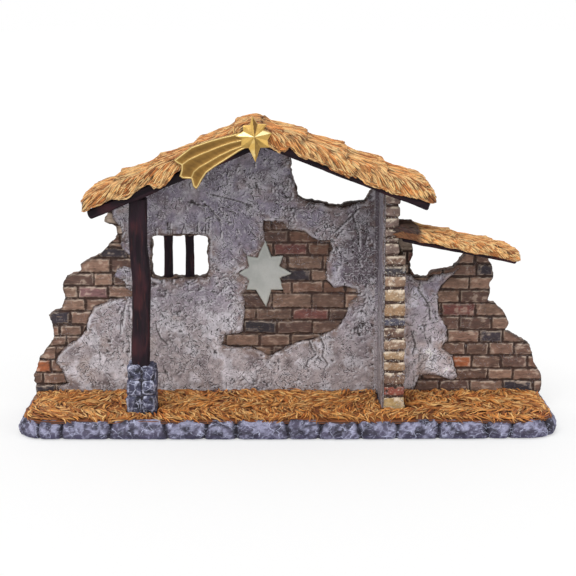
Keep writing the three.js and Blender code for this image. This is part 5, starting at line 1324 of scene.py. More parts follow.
def sheaf_colours(chance, front, per):
    """The colours of each sheaf's strands at each ring, with more pale cream strands near the front, partly a
    painted highlight on the lip.
    """
    sheaves = len(front)
    pick = chance.integers(0, len(THATCH_TONES), sheaves)
    tone = THATCH_TONES[pick] * (0.72 + 0.5 * chance.random(sheaves))[:, None]
    tone = tone[:, None, :] * (0.42 + 0.9 * chance.random((sheaves, per)))[:, :, None]
    cream = (chance.random((sheaves, per)) < mix(0.16, 0.36, front)[:, None]) * 0.8
    return mix(tone, THATCH_CREAM, cream)[:, :, None, :] * THATCH_SHADES[None, None, :, None]


def thatch_strands(roof, pitch, length, width, darkened_end=None):
    """Sheaves of strands, laid like shingles down the slope and slantwise over the front lip."""
    chance = np.random.default_rng(roof.seed)
    down = roof.down
    per, rings = 10, len(THATCH_SHADES)
    columns = int(abs(roof.outer - roof.inner) / pitch) + 1
    rows = int(SECTION_LENGTH / (0.66 * pitch))
    column, row = [axis.ravel() for axis in np.meshgrid(np.arange(columns), np.arange(rows), indexing="ij")]
    sheaves = len(column)
    slope_share = (column + (row % 2) / 2 + 0.7 * (chance.random(sheaves) - 0.5)) / columns
    x0 = mix(roof.inner - down * 4, roof.outer - down * 5, slope_share)
    along0 = np.clip((row + 0.5 + 0.8 * (chance.random(sheaves) - 0.5)) / rows, 0.02, 0.97)
    front = smooth(along0, 0.7, 0.84)
    flow = noise(flat_points(x0, along0 * SECTION_LENGTH), 16, roof.seed)
    turn = mix(0.1, 0.62, front) + 0.3 * flow + chance.normal(size=sheaves) * 0.12
    member = np.linspace(-1, 1, per)[None, :]
    share = np.linspace(0, 1, rings)[None, None, :]
    fan = turn[:, None] + 0.13 * member + chance.normal(size=(sheaves, per)) * 0.06
    reach = length * (0.8 + 0.4 * chance.random(sheaves))[:, None] * (1 - 0.25 * member**2)
    reach = reach * (0.85 + 0.3 * chance.random((sheaves, per))) * (1 - 0.3 * front[:, None])
    curve = fan[:, :, None] + 0.15 * share
    spread = 0.42 * pitch
    start_x = x0[:, None] - down * spread * member * np.sin(turn)[:, None]
    start_along = along0[:, None] + spread * member * np.cos(turn)[:, None] / SECTION_LENGTH
    x = start_x[:, :, None] + down * reach[:, :, None] * share * np.cos(curve)
    stops = (chance.random((sheaves, per)) < 0.85) & (front < 0.6)[:, None]
    stop = roof.course_end(x0)[:, None] + down * 1.6 * (chance.random((sheaves, per)) - 0.6)
    stop = np.where(stops, stop, roof.outer)[:, :, None]
    x = np.minimum(x, stop) if down > 0 else np.maximum(x, stop)
    along = start_along[:, :, None] + reach[:, :, None] * share * np.sin(curve) / SECTION_LENGTH
    limit = roof.outer - down * (0.3 + 1.2 * chance.random((sheaves, per)))[:, :, None]
    x = np.minimum(x, limit) if down > 0 else np.maximum(x, limit)
    along = np.clip(along, 0.01, 0.965 + 0.035 * chance.random((sheaves, per))[:, :, None])
    spots, out = roof.laid(x, along)
    layer = 0.6 * chance.random(sheaves)[:, None, None]
    hump = 0.35 * (1 - member**2)[:, :, None]
    profile = np.interp(share, [0, 0.45, 0.8, 1], [-0.9, 0.05, 0.5, 0.2])
    lift = 0.9 * stops[:, :, None] * (1 - smooth(np.abs(x - stop), 0, 7))
    lines = spots + out * (profile + layer + hump + lift - 0.35)[..., None]

    colours = sheaf_colours(chance, front, per)
    # In patches the strands sink and are painted darker, as painted shade in the hollows between sheaves
    pits = smooth(noise(lines, 5, roof.seed + 3), 0.5, 0.75)
    colours = mix(colours, THATCH_DEEP * 0.6, 0.5 * pits)
    lines = lines - out * (0.7 * pits)[..., None]
    # Towards the left end, strands are painted near black above and reddish brown on the lip, the lip's colour
    # a painted shade
    if darkened_end:
        end_dark_and_shade = np.where((along < 0.9)[..., None], THATCH_END_DARK, THATCH_LIP_SHADE)
        colours = mix(colours, end_dark_and_shade, 0.9 * (1 - smooth(x, *darkened_end)))
    number = sheaves * per
    lines, out = lines.reshape(number, rings, 3), out.reshape(number, rings, 3)
    widths = width * (0.75 + 0.5 * chance.random(number))
    moved = np.linalg.norm(lines[:, -1] - lines[:, 0], axis=1) > 3
    return strands(lines[moved], out[moved], widths[moved], 0.95 * widths[moved],
                   colours.reshape(number, rings, 3)[moved], 0.27)


def build_thatch():
    crown_x, crown, left_spread, right_spread = -26.0, 3.4, 60.0, 16.0

    def main_thickness(x):
        away = np.abs(x - crown_x)
        return 6.2 + crown * np.clip(1 - away / np.where(x < crown_x, left_spread, right_spread), 0, 1)

    def lean_to_thickness(x):
        return np.interp(x, [79, 162], [4.8, 3.4])

    for side, drops in (("left", LEFT_LIP), ("right", RIGHT_LIP)):
        low, high = span(f"thatch_{side}")
        inner, outer = (high[0], low[0]) if side == "left" else (low[0], high[0])
        seed = THATCH_SEED + len(side)
        roof = Roof(f"thatch_{side}", f"roof_boards_{side}", inner, outer, main_thickness, drops, seed)
        parts = merged([thatch_core(roof), thatch_strands(roof, 6.4, 17.0, 1.2)])
        add_mesh(f"hay_{side}", *parts, MATERIALS["thatch"], "thatch", [f"thatch_{side}"], crease=80)
    low, high = span("lean_to_thatch")
    roof = Roof("lean_to_thatch", "lean_to_boards", low[0], high[0], lean_to_thickness, LEAN_TO_LIP,
                THATCH_SEED + 9)
    parts = merged([thatch_core(roof), thatch_strands(roof, 5.2, 13.0, 1.05, darkened_end=(90, 96))])
    add_mesh("hay_lean_to", *parts, MATERIALS["thatch"], "thatch", ["lean_to_thatch"], crease=80)


# Wood

WOOD_DARK = ink(22, 11, 19)
WOOD_MID = ink(38, 21, 30)
WOOD_WARM = ink(66, 32, 35)
# How far the left end of each rafter hangs lower than it is in CAD
LEFT_END_DIPS = [1.5, 0, 0]
POST_MIDDLE = -104.15
POST_WIDTH = 12.9
# How far the post's middle strays along X, from height to height
POST_BENDS = [
    (45, 0), (60, 0.1), (80, 0.5), (96, 1), (108, 1.5), (118, 0.8), (131, -0.5), (156, -0.5), (178, -0.4),
]


def beam(length, width, depth, seed, cell=0.9, radius=1.6, flare=0.0):
    """A hewn beam along its own first axis: grain, knots and worn ends. Points start at zero length.

    A flare widens both ends by that share.
    """
    points, faces, out = block((0, -width / 2, -depth / 2), (length, width / 2, depth / 2), cell, radius)
    drawn = points * [0.12, 1, 1] + [seed * 17.0, 0, 0]
    ridges = rough(drawn, 2.2, 3, seed)
    dents = rough(points * [0.4, 1, 1] + [seed * 31.0, 0, 0], 7, 3, seed + 1)
    moved = points + out * (0.32 * ridges + 0.4 * dents - 0.35)[:, None]
    from_end = np.minimum(points[:, 0], length - points[:, 0])
    moved[:, 1:] *= 1 + flare * bell(from_end, 1.8)[:, None]
    inner = smooth(from_end, 0, 2.5)
    tone = mix(WOOD_DARK, WOOD_MID, smooth(ridges + 0.5 * dents, -0.5, 0.8))
    tone = mix(tone, WOOD_WARM, 0.6 * smooth(dents, 0.1, 0.9) * inner)
    return moved, faces, tone


def turned(part, start, end):
    """A beam placed with its length from start to end."""
    points, faces, paint = part
    start, end = np.array(start, float), np.array(end, float)
    ahead = (end - start) / np.linalg.norm(end - start)
    hint = np.array([0.0, 1.0, 0.0]) if abs(ahead[1]) < 0.9 else np.array([1.0, 0.0, 0.0])
    up = np.cross(ahead, hint)
    up /= np.linalg.norm(up)
    side = np.cross(up, ahead)
    return start + points[:, :1] * ahead + points[:, 1:2] * side + points[:, 2:] * up, faces, paint


def build_wood():
    low, high = span("wood_post")
    depth = high[1] - low[1]
    middle = (low + high) / 2
    top = slope_height("front_rafter_left", POST_MIDDLE, low=True)
    post = turned(beam(top - low[2], depth, POST_WIDTH, WOOD_SEED), (POST_MIDDLE, middle[1], low[2]),
                  (POST_MIDDLE, middle[1], top))
    post[0][:, 0] += np.interp(post[0][:, 2], *np.array(POST_BENDS).T)
    add_mesh("hewn_post", *post, MATERIALS["wood_z"], "dark_wood", ["wood_post"], crease=60)

    for n, node in enumerate(("front_rafter_left", "front_rafter_right", "lean_to_rafter")):
        low, high = span(node)
        left_low, left_high = slope_height(node, low[0] + 3, True), slope_height(node, low[0] + 3, False)
        right_low, right_high = slope_height(node, high[0] - 3, True), slope_height(node, high[0] - 3, False)
        run = high[0] - low[0] - 6
        slope = (right_high - left_high) / run
        height = (right_high - right_low) / math.hypot(1, slope)
        start = np.array([low[0] + 3, (low[1] + high[1]) / 2, (left_low + left_high) / 2])
        end = np.array([high[0] - 3, (low[1] + high[1]) / 2, (right_low + right_high) / 2])
        ahead = (end - start) / np.linalg.norm(end - start)
        start, end = start - ahead * 2.6, end + ahead * 2.6
        start[2] -= LEFT_END_DIPS[n]
        rafter = beam(np.linalg.norm(end - start), high[1] - low[1], height, WOOD_SEED + 5 + n, radius=2.4)
        parts = turned(rafter, start, end)
        add_mesh(f"hewn_{node}", *parts, MATERIALS["wood_x"], "dark_wood", [node], crease=60)

    for n, node in enumerate(("window_bar_left", "window_bar_right")):
        low, high = span(node)
        size = high - low
        bar = beam(size[2], size[1], size[0], WOOD_SEED + 11 + n, cell=0.7, radius=1.2, flare=0.4)
        middle = (low + high) / 2
        parts = turned(bar, (middle[0], middle[1], low[2]), (middle[0], middle[1], high[2]))
        add_mesh(f"hewn_{node}", *parts, MATERIALS["wood_z"], "dark_wood", [node], crease=60)

    for n, node in enumerate(("roof_boards_left", "roof_boards_right", "lean_to_boards")):
        planks(node, WOOD_SEED + 20 + 10 * n)


def slope_height(node, x, low):
    """The lowest or highest CAD point of a sloping node at a place along X."""
    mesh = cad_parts[node].data
    spots = corner_points(mesh)
    corners = np.zeros(len(mesh.edges) * 2, int)
    mesh.edges.foreach_get("vertices", corners)
    ends = spots[corners].reshape(-1, 2, 3)
    ends = ends[(ends[:, :, 0].min(axis=1) <= x) & (ends[:, :, 0].max(axis=1) >= x)]
    run = ends[:, 1, 0] - ends[:, 0, 0]
    share = np.where(np.abs(run) > 1e-6, (x - ends[:, 0, 0]) / np.where(np.abs(run) > 1e-6, run, 1), 0)
    heights = ends[:, 0, 2] + share * (ends[:, 1, 2] - ends[:, 0, 2])
    return heights.min() if low else heights.max()


def planks(node, seed):
    """Roof boards as planks laid from front to back, side by side down the slope."""
    (x0, front0, back0, thick), (x1, front1, back1, _) = Roof.board_corners(node)
    low, high = span(node)
    count = max(3, int(round((x1 - x0) / 12)))
    parts = []
    for n in range(count):
        edge = [x0 + (x1 - x0) * (n + k) / count for k in (0, 1)]
        width = (edge[1] - edge[0]) * math.hypot(1, (front1 - front0) / (x1 - x0)) - 0.35
        points, faces, paint = beam(high[1] - low[1], width, thick, seed + n, cell=1.6, radius=0.5)
        middle = (edge[0] + edge[1]) / 2
        share = (middle - x0) / (x1 - x0)
        start = np.array([middle, low[1], front0 + (front1 - front0) * share + thick / 2])
        end = np.array([middle, high[1], back0 + (back1 - back0) * share + thick / 2])
        ahead = (end - start) / np.linalg.norm(end - start)
        across = np.array([x1 - x0, 0, front1 - front0])
        across /= np.linalg.norm(across)
        up = np.cross(across, ahead)
        placed = start + points[:, :1] * ahead + points[:, 1:2] * across + points[:, 2:] * up
        parts.append((placed, [group[:, ::-1] for group in faces], paint))
    return add_mesh(f"planks_{node}", *merged(parts), MATERIALS["wood_y"], "dark_wood", [node], crease=60)


# Pillar and footing

PILLAR_BEDS = [13.2, 23.7, 31.9, 41.9, 49.7, 57.2, 65.7, 74.2, 81.4, 91.8, 102.4, 111.4, 118.4, 125.8, 134.8,
               138.6, 144.7, 152.6, 161.1, 170, 179.5, 189]
PILLAR_NAMED = {0: ink(180, 152, 104), 1: ink(140, 76, 62), 7: ink(66, 64, 78), 11: ink(52, 46, 50)}
PILLAR_TONES = [ink(140, 112, 92), ink(110, 84, 70), ink(160, 132, 102), ink(100, 75, 64), ink(148, 117, 88)]
PILLAR_UPPER_TONES = [ink(124, 102, 94), ink(108, 87, 80), ink(136, 114, 104)]
PILLAR_CHALK_AND_HIGHLIGHT = ink(224, 208, 188)
PILLAR_GAP = ink(80, 56, 40)
# The courses that take less chalk and painted highlight
PILLAR_PLAIN = (7, 11)
# The pillar is wider below this height, and its narrow part is this share of its width
PILLAR_STEP = 119.0
PILLAR_NARROW_SHARE = 11 / 16


def build_pillar():
    low, high = span("cross_wall")
    narrow = low[0] + (high[0] - low[0]) * PILLAR_NARROW_SHARE
    parts = []
    for n, (bed, top) in enumerate(zip(PILLAR_BEDS, PILLAR_BEDS[1:])):
        wide = bed < PILLAR_STEP
        reach = high[0] if wide else narrow
        roof = slope_height("roof_boards_right", reach, True) - 0.6
        top = min(top, roof)
        if top - bed < 2:
            continue
        chance = hashed(np.array([[n, k, 5] for k in range(8)]), STONE_SEED)
        joints = [low[1], low[1] + 15 + 12 * chance[0], low[1] + 38 + 8 * chance[1], high[1] - 0.2]
        for k, (front, back) in enumerate(zip(joints, joints[1:])):
            right = reach - 0.9 * chance[3 + k]
            corner = (low[0] - 0.2, front + (0.5 * chance[2] if k == 0 else 0.3), bed + 0.35)
            points, faces, out = block(corner, (right, back - 0.3, top - 0.35), 1.05, 1.7)
            lumps = rough(points, 5, 3, STONE_SEED + n)
            facet = cells(points, 4.5, STONE_SEED + 70 + n)[1]
            points = points + out * (0.7 * lumps + 0.5 * facet - 0.7)[:, None]
            usual = PILLAR_TONES if bed < PILLAR_STEP else PILLAR_UPPER_TONES
            tone = PILLAR_NAMED.get(n, usual[(n * 3 + k) % len(usual)])
            paint = tinted(tone, 0.8 + 0.25 * chance[4] + 0.2 * rough(points, 3, 3, STONE_SEED + 9))
            # Pale chalk on the stones, thicker on each stone's upper part as a painted highlight
            upper = smooth(points[:, 2], mix(bed, top, 0.55), top - 0.8)
            chalk_and_highlight = smooth(rough(points, 3.2, 3, STONE_SEED + 12) + 0.7 * upper, 0.32, 0.8)
            chalk_and_highlight = chalk_and_highlight * (0.4 if n in PILLAR_PLAIN else 0.8)
            paint = mix(paint, PILLAR_CHALK_AND_HIGHLIGHT, chalk_and_highlight)
            sunk = 1 - smooth(np.minimum(points[:, 2] - bed, top - points[:, 2]), 0.3, 1.2)
            paint = mix(paint, PILLAR_GAP, 0.8 * sunk)
            parts.append((points, faces, paint))
    for bottom, top, reach in ((low[2], PILLAR_STEP, high[0]), (PILLAR_STEP - 2, high[2] - 2.5, narrow)):
        roof = min(top, slope_height("roof_boards_right", reach, True) - 1.2)
        near = (low[0] + 0.2, low[1] + 1.4, bottom)
        points, faces, _ = block(near, (reach - 1.6, high[1] - 0.2, roof), 2.5, 0.5)
        parts.append((points, faces, tinted(MORTAR, np.full(len(points), 0.8))))
    return add_mesh("pillar_stones", *merged(parts), MATERIALS["pillar"], "brick", ["cross_wall"], crease=60)


FOOTING_DARK = ink(22, 21, 34)
FOOTING_MID = ink(66, 66, 90)
FOOTING_PALE = ink(196, 198, 220)
FOOTING_GAP = ink(20, 17, 22)
# Footing stones, in shares of the footing's width, depth and height
FOOTING_SHARES = [
    [(0, 0.54), (0, 0.96), (0, 0.37)], [(0.5, 0.97), (0.02, 1), (0, 0.4)],
    [(0.02, 0.53), (0.03, 0.97), (0.35, 0.7)], [(0.5, 0.97), (0, 0.98), (0.38, 0.7)],
    [(0.04, 0.52), (0.02, 1), (0.67, 1)], [(0.49, 0.93), (0.05, 0.97), (0.67, 0.98)],
    [(0.8, 1), (0.1, 0.9), (0.02, 0.45)], [(0.8, 0.99), (0.15, 0.95), (0.44, 0.92)],
]


def build_footing():
    low, high = span("post_footing")
    size = high - low
    parts = []
    for n, shares in enumerate(FOOTING_SHARES):
        corner = [low + np.array([share[k] for share in shares]) * size for k in (0, 1)]
        points, faces, out = block(corner[0], corner[1], 0.7, 3.0)
        lumps = rough(points, 5, 3, STONE_SEED + 20 + n)
        ridge, facet = cells(points, 5, STONE_SEED + 40 + n)
        points = points + out * (0.5 * lumps + 0.5 * facet - 0.45)[:, None]
        centre = (corner[0] + corner[1]) / 2
        half = (corner[1] - corner[0]) / 2
        around = np.abs((points - centre) / half)
        paint = mix(FOOTING_DARK, FOOTING_MID, smooth(lumps + 0.4 * facet, -0.5, 0.9))
        broad = around[:, 0] ** 3 + around[:, 2] ** 3
        pale = bell(broad - 0.55, 0.16) * (points[:, 1] < centre[1])
        pale = pale + 0.8 * bell(ridge, 0.06)
        pale = pale * smooth(rough(points, 2.6, 3, STONE_SEED + 60 + n), -0.3, 0.6)
        paint = mix(paint, FOOTING_PALE, np.clip(0.85 * pale, 0, 1))
        paint = mix(paint, FOOTING_GAP, 0.9 * smooth(broad, 1.1, 1.7))
        parts.append((points, faces, paint))
    points, faces, _ = block(low + size * [0.08, 0.08, 0], high - size * [0.08, 0.08, 0.06], 2, 1)
    parts.append((points, faces, tinted(JOINT_DARK, np.ones(len(points)))))
    parts = merged(parts)
    add_mesh("footing_stones", *parts, MATERIALS["stone"], "painted_stone", ["post_footing"], crease=60)


# Star window and comet

LENS_DARK = ink(168, 170, 166)
LENS_PALE = ink(184, 185, 181)
LENS_EDGE = ink(196, 198, 192)
LENS_GRIME = ink(120, 118, 104)
LENS_BACK = ink(200, 205, 192)
LENS_SIDE = ink(176, 182, 166)
LENS_MIDDLE = 104.0


def build_lens():
    low, high = span("star_lens")
    edges = face_edges("star_lens", 1, low[1], (0, 2))
    sheet = Sheet(edges, 0.55)
    inward = to_edges(edges, sheet.a, sheet.b)[0]
    spots = flat_points(sheet.a, sheet.b)
    rounded = 0.8 * bell(inward, 0.8)
    front = low[1] + rounded - 0.25 * smooth(inward, 1, 6) + 0.08 * rough(spots, 5, 3, METAL_SEED)
    cloud = rough(spots, 12, 3, METAL_SEED + 1) - (sheet.b - LENS_MIDDLE) / 30
    paint = mix(LENS_DARK, LENS_PALE, smooth(cloud, -0.6, 0.9))
    paint = mix(paint, LENS_EDGE, 0.6 * bell(inward - 0.9, 0.6))
    paint = mix(paint, LENS_GRIME, 0.5 * bell(inward, 0.35))
    parts = two_faced(sheet, front, high[1] - 0.3, paint, LENS_BACK, LENS_SIDE, upright, rows=4)
    add_mesh("frosted_star", *parts, MATERIALS["lens"], "frosted_lens", ["star_lens"], crease=50)


COMET_CENTRE = (-22.7, 210.6)
COMET_REACH = 17.3
COMET_TAIL = 60.0
COMET_TAIL_THICKNESS = 2.0
COMET_STAR_THICKNESS = 1.4
# The star's tips and notches in turn, in shares of its reach; the tail and its ribs in shares of its length
COMET_STAR_SHARES = [
    (-0.09, 0.82), (0.12, 0.5), (0.47, 0.49), (0.34, 0.25), (0.67, 0.14), (0.5, -0.14), (0.57, -0.42),
    (0.22, -0.43), (0.03, -1), (-0.23, -0.45), (-0.53, -0.4), (-0.51, -0.1), (-0.76, 0.02), (-0.45, 0.21),
    (-0.45, 0.43), (-0.18, 0.47),
]
COMET_TAIL_SHARES = [
    (-0.05, 0.05), (-0.19, 0.04), (-0.357, 0), (-0.505, -0.04), (-0.623, -0.08), (-0.722, -0.115),
    (-0.82, -0.19), (-0.924, -0.27), (-0.88, -0.305), (-0.835, -0.327), (-0.838, -0.385), (-0.858, -0.45),
    (-0.82, -0.477), (-0.724, -0.481), (-0.704, -0.565), (-0.668, -0.6), (-0.638, -0.565), (-0.603, -0.495),
    (-0.549, -0.415), (-0.46, -0.35), (-0.357, -0.285), (-0.263, -0.225), (-0.17, -0.165), (-0.066, -0.115),
]
COMET_RIBS = [
    [(-0.13, -0.04), (-0.268, -0.07), (-0.387, -0.11), (-0.485, -0.15), (-0.623, -0.205), (-0.751, -0.265),
     (-0.83, -0.322)],
    [(-0.12, -0.1), (-0.268, -0.155), (-0.406, -0.22), (-0.535, -0.295), (-0.633, -0.35), (-0.692, -0.4),
     (-0.723, -0.472)],
]
# How pale each facet of the star is, from the top tip's right half round by the right: painted light and
# shade, as if lit from the upper left
STAR_FACET_LIGHTING = [0, 0.35, 0.5, 1, 0.42, 0.6, 0.32, 0.18, 0.8, 0.4, 0.6, 0.5, 1, 0.5, 0.32, 0.7]
GOLD_PALE = ink(250, 232, 170)
GOLD_BRIGHT = ink(214, 174, 92)
GOLD_MID = ink(142, 106, 46)
GOLD_DEEP = ink(98, 68, 22)


def star_share(outline, x, z):
    """How far out each place lies, 0 at the star's middle and 1 at its outline, and its facet's number."""
    share = np.full(x.shape, 2.0)
    facet = np.zeros(x.shape, int)
    for n, ((x0, z0), (x1, z1)) in enumerate(loop_edges(outline)):
        area = x0 * z1 - x1 * z0
        first, second = (x * z1 - x1 * z) / area, (x0 * z - x * z0) / area
        inside = (first >= -1e-6) & (second >= -1e-6)
        share = np.where(inside, first + second, share)
        facet = np.where(inside, n, facet)
    return share, facet


def build_comet():
    back = face_level("comet")
    front = span("comet")[0][1]
    centre = np.array(COMET_CENTRE)

    tail_edges = loop_edges(np.array(COMET_TAIL_SHARES) * COMET_TAIL + centre)
    sheet = Sheet(tail_edges, 0.4)
    spots = flat_points(sheet.a, sheet.b)
    runs = [np.array(rib) * COMET_TAIL + centre for rib in COMET_RIBS]
    ribs = np.concatenate([np.stack([run[:-1], run[1:]], axis=1) for run in runs])
    inward = to_edges(tail_edges, sheet.a, sheet.b)[0]
    ridge = np.minimum(to_edges(ribs, sheet.a, sheet.b)[0], np.abs(inward - 0.75))
    level = back - COMET_TAIL_THICKNESS
    height = 0.85 * np.exp(-ridge / 1.5) + 0.05 * rough(spots, 3, 3, METAL_SEED) - 0.3 * bell(inward, 0.3)
    drawn = spots @ np.array([[0.4, -0.9, 0], [0.9, 0.4, 0], [0, 0, 1]]) * [1, 0.2, 1]
    brushed = rough(drawn, 1.4, 3, METAL_SEED + 3)
    field = mix(GOLD_DEEP, GOLD_MID, smooth(0.3 * brushed + 1.1 * np.exp(-ridge / 2.2) - 0.1, -0.5, 1.0))
    rimmed = mix(0.35, 0.75, bell(inward, 1.2))
    paint = mix(field, GOLD_BRIGHT, rimmed * bell(ridge, 0.5))
    paint = mix(paint, GOLD_PALE, rimmed * bell(ridge, 0.24))
    tail = two_faced(sheet, level - height, back, paint, GOLD_DEEP, GOLD_MID, upright, rows=2)

    outline = np.array(COMET_STAR_SHARES) * COMET_REACH
    sheet = Sheet(loop_edges(outline + centre), 0.3)
    x, z = sheet.a - centre[0], sheet.b - centre[1]
    share, facet = star_share(outline, x, z)
    share = np.clip(share, 0, 1)
    crown = level - COMET_STAR_THICKNESS - front
    spots = flat_points(sheet.a, sheet.b)
    lip = 0.35 * bell(1 - share, 0.08)
    dents = 0.06 * rough(spots, 2, 2, METAL_SEED + 4)
    star_front = level - COMET_STAR_THICKNESS - crown * (1 - share) + lip + dents
    # Each facet is painted pale or dark, as painted light and shade
    lit = np.array(STAR_FACET_LIGHTING)[facet] + 0.1 * rough(spots, 4, 3, METAL_SEED + 5)
    paint = mix(mix(GOLD_DEEP, GOLD_BRIGHT, smooth(lit, -0.1, 0.75)), GOLD_PALE, smooth(lit, 0.75, 1))
    paint = mix(paint, GOLD_BRIGHT, 0.6 * smooth(share, 0.9, 0.98))
    star = two_faced(sheet, star_front, back - 0.6, paint, GOLD_DEEP, GOLD_MID, upright, rows=3)
    add_mesh("gilt_comet", *merged([tail, star]), MATERIALS["gold"], "gilt", ["comet"], crease=14)


def face_level(node):
    """The Y of a node's broadest flat face that looks back."""
    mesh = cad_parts[node].data
    best = {}
    for face in mesh.polygons:
        if face.normal[1] > 0.99:
            level = round(face.center[1] / MM, 1)
            best[level] = best.get(level, 0) + face.area
    return max(best, key=best.get)


# Light unit, pads and other plain parts: the solids with their sharp edges eased

def softened(node, material, slot, width, tone, body="root"):
    """A copy of a CAD solid with its sharp edges eased by a width in millimetres."""
    shape = bmesh.new()
    shape.from_mesh(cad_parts[node].data)
    bmesh.ops.remove_doubles(shape, verts=shape.verts, dist=0.00002)
    bmesh.ops.dissolve_limit(shape, angle_limit=math.radians(3), verts=shape.verts, edges=shape.edges)
    joined = [edge for edge in shape.edges if len(edge.link_faces) == 2]
    sharp = [edge for edge in joined if edge.calc_face_angle() > math.radians(28)]
    bmesh.ops.bevel(shape, geom=sharp, offset=width * MM, segments=2, profile=0.6, affect="EDGES",
                    clamp_overlap=True)
    bmesh.ops.triangulate(shape, faces=[face for face in shape.faces if len(face.verts) > 4])
    shape.verts.index_update()
    groups = {}
    for face in shape.faces:
        groups.setdefault(len(face.verts), []).append([vertex.index for vertex in face.verts])
    points = np.array([vertex.co / MM for vertex in shape.verts])
    faces = [np.array(groups[size]) for size in sorted(groups)]
    shape.free()
    paint = tinted(tone, 1 + 0.06 * rough(points, 6, 2, METAL_SEED))
    add_mesh(f"eased_{node}", points, faces, paint, material, slot, [node], body=body, crease=40)


def build_light_unit():
    shell = painted("shell", 0.8, tone=0.05, roughness=(0.4, 0.55), bump=0.12, depth=0.08)
    steel = painted("steel", 0.5, tone=0.1, roughness=(0.22, 0.38), bump=0.12, depth=0.05, metallic=1.0)
    jacket = painted("jacket", 0.7, tone=0.06, roughness=(0.25, 0.35), bump=0.06, depth=0.05, coat=0.4)
    board = painted("board", 0.6, tone=0.12, roughness=(0.35, 0.5), bump=0.15, depth=0.05, coat=0.3)
    resin = painted("resin", 0.9, tone=0.04, roughness=(0.1, 0.2), bump=0.03, depth=0.05, coat=0.6)
    foam = painted("foam", 0.7, tone=0.2, roughness=(0.85, 0.95), bump=0.7, depth=0.2)
    softened("light_housing", shell, "white_plastic", 0.35, ink(208, 204, 194))
    softened("battery_door", shell, "white_plastic", 0.3, ink(212, 208, 198), "battery_door")
    softened("switch_body", shell, "black_plastic", 0.2, ink(42, 42, 44))
    softened("switch_slider", shell, "black_plastic", 0.25, ink(36, 36, 38), "switch_slider")
    for level in ("lower", "upper"):
        softened(f"cell_{level}", jacket, "cell_jacket", 0.3, ink(66, 92, 120))
        softened(f"contact_plate_{level}", steel, "contact_steel", 0.08, ink(190, 188, 182))
        softened(f"contact_spring_{level}", steel, "contact_steel", 0.04, ink(196, 194, 188))
    softened("led_board", board, "board_green", 0.12, ink(44, 96, 62))
    for side in ("left", "right"):
        softened(f"led_{side}", resin, "led_resin", 0.15, ink(232, 226, 200))
    for n in range(1, 5):
        softened(f"housing_screw_{n}", steel, "screw_steel", 0.12, ink(186, 184, 178))
        softened(f"foot_pad_{n}", foam, "pad_foam", 0.2, ink(40, 38, 38))


build_walls()
base_rim()
straw_bed("straw_front", "straw_floor", FRONT_STRAWS, STRAW_SEED)
straw_bed("straw_back", "straw_strip_behind", BACK_STRAWS, STRAW_SEED + 5)
build_thatch()
build_wood()
build_pillar()
build_footing()
build_lens()
build_comet()
build_light_unit()


# Camera, floor and light

def add_camera():
    camera = bpy.data.cameras.new("camera")
    camera.sensor_width = SENSOR_WIDTH
    camera.lens = FOCAL_PIXELS * SENSOR_WIDTH / PHOTO_PIXELS
    camera.clip_start = 0.05
    camera.clip_end = 100
    holder = bpy.data.objects.new("camera", camera)
    holder.location = (0, -CAMERA_DISTANCE * MM, CAMERA_HEIGHT * MM)
    holder.rotation_euler = (math.radians(90 - CAMERA_TILT), 0, 0)
    bpy.context.scene.collection.objects.link(holder)
    bpy.context.scene.camera = holder


def add_sun(name, toward, spread, strength):
    light = bpy.data.lights.new(name, "SUN")
    light.angle = math.radians(spread)
    light.energy = strength
    holder = bpy.data.objects.new(name, light)
    holder.rotation_euler = Vector(toward).to_track_quat("-Z", "Y").to_euler()
    bpy.context.scene.collection.objects.link(holder)


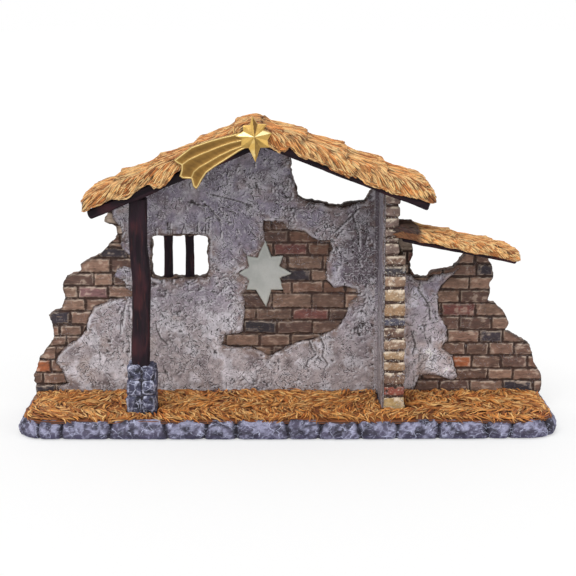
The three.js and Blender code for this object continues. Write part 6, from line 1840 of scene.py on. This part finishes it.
def seen_directly(tree):
    """1 where the camera looks, also by way of metal or glass, and 0 for light that falls on the object."""
    rays = add_node(tree, "ShaderNodeLightPath").outputs
    seen = rays["Is Camera Ray"]
    for kind in ("Is Glossy Ray", "Is Transmission Ray"):
        seen = add_node(tree, "ShaderNodeMath", {0: seen, 1: rays[kind]}, operation="MAXIMUM").outputs[0]
    return seen


def add_floor():
    mesh = bpy.data.meshes.new("floor")
    corners = [(-FLOOR_REACH, -FLOOR_REACH, 0), (FLOOR_REACH, -FLOOR_REACH, 0), (FLOOR_REACH, FLOOR_REACH, 0),
               (-FLOOR_REACH, FLOOR_REACH, 0)]
    mesh.from_pydata(corners, [], [(0, 1, 2, 3)])
    floor = bpy.data.objects.new("floor", mesh)
    bpy.context.scene.collection.objects.link(floor)
    material = bpy.data.materials.new("floor")
    material.use_nodes = True
    tree = material.node_tree
    shader = tree.nodes["Principled BSDF"]
    seen = seen_directly(tree)
    paint = ranged(tree, seen, 0.0, 1.0, FLOOR_WHITE, FLOOR_WHITE * (1 - FLOOR_GLOW))
    tree.links.new(paint, shader.inputs["Base Color"])
    tree.links.new(ranged(tree, seen, 0.0, 1.0, 0.0, FLOOR_GLOW), shader.inputs["Emission Strength"])
    shader.inputs["Emission Color"].default_value = (1, 1, 1, 1)
    shader.inputs["Roughness"].default_value = 0.9
    mesh.materials.append(material)


def add_world():
    world = bpy.data.worlds.new("world")
    bpy.context.scene.world = world
    world.use_nodes = True
    tree = world.node_tree
    strength = ranged(tree, seen_directly(tree), 0.0, 1.0, AMBIENT, 1.0)
    background = tree.nodes["Background"]
    background.inputs["Color"].default_value = (1, 1, 1, 1)
    tree.links.new(strength, background.inputs["Strength"])


AMBIENT = 0.7
# How far the floor reaches each way, in metres
FLOOR_REACH = 40.0
# The floor's paint, and how much of what is seen of it is plain white, so that the shadow on it stays soft
FLOOR_WHITE = 0.95
FLOOR_GLOW = 0.5
# The lamps: the way each one shines, how wide it looks in degrees, and its strength
SUNS = {"key": ((0.45, 1.0, -1.15), 30, 1.25), "fill": ((-0.8, 0.9, -0.55), 50, 0.4)}

add_camera()
add_floor()
add_world()
for name, sun in SUNS.items():
    add_sun(name, *sun)
bpy.context.scene.view_settings.view_transform = "Standard"
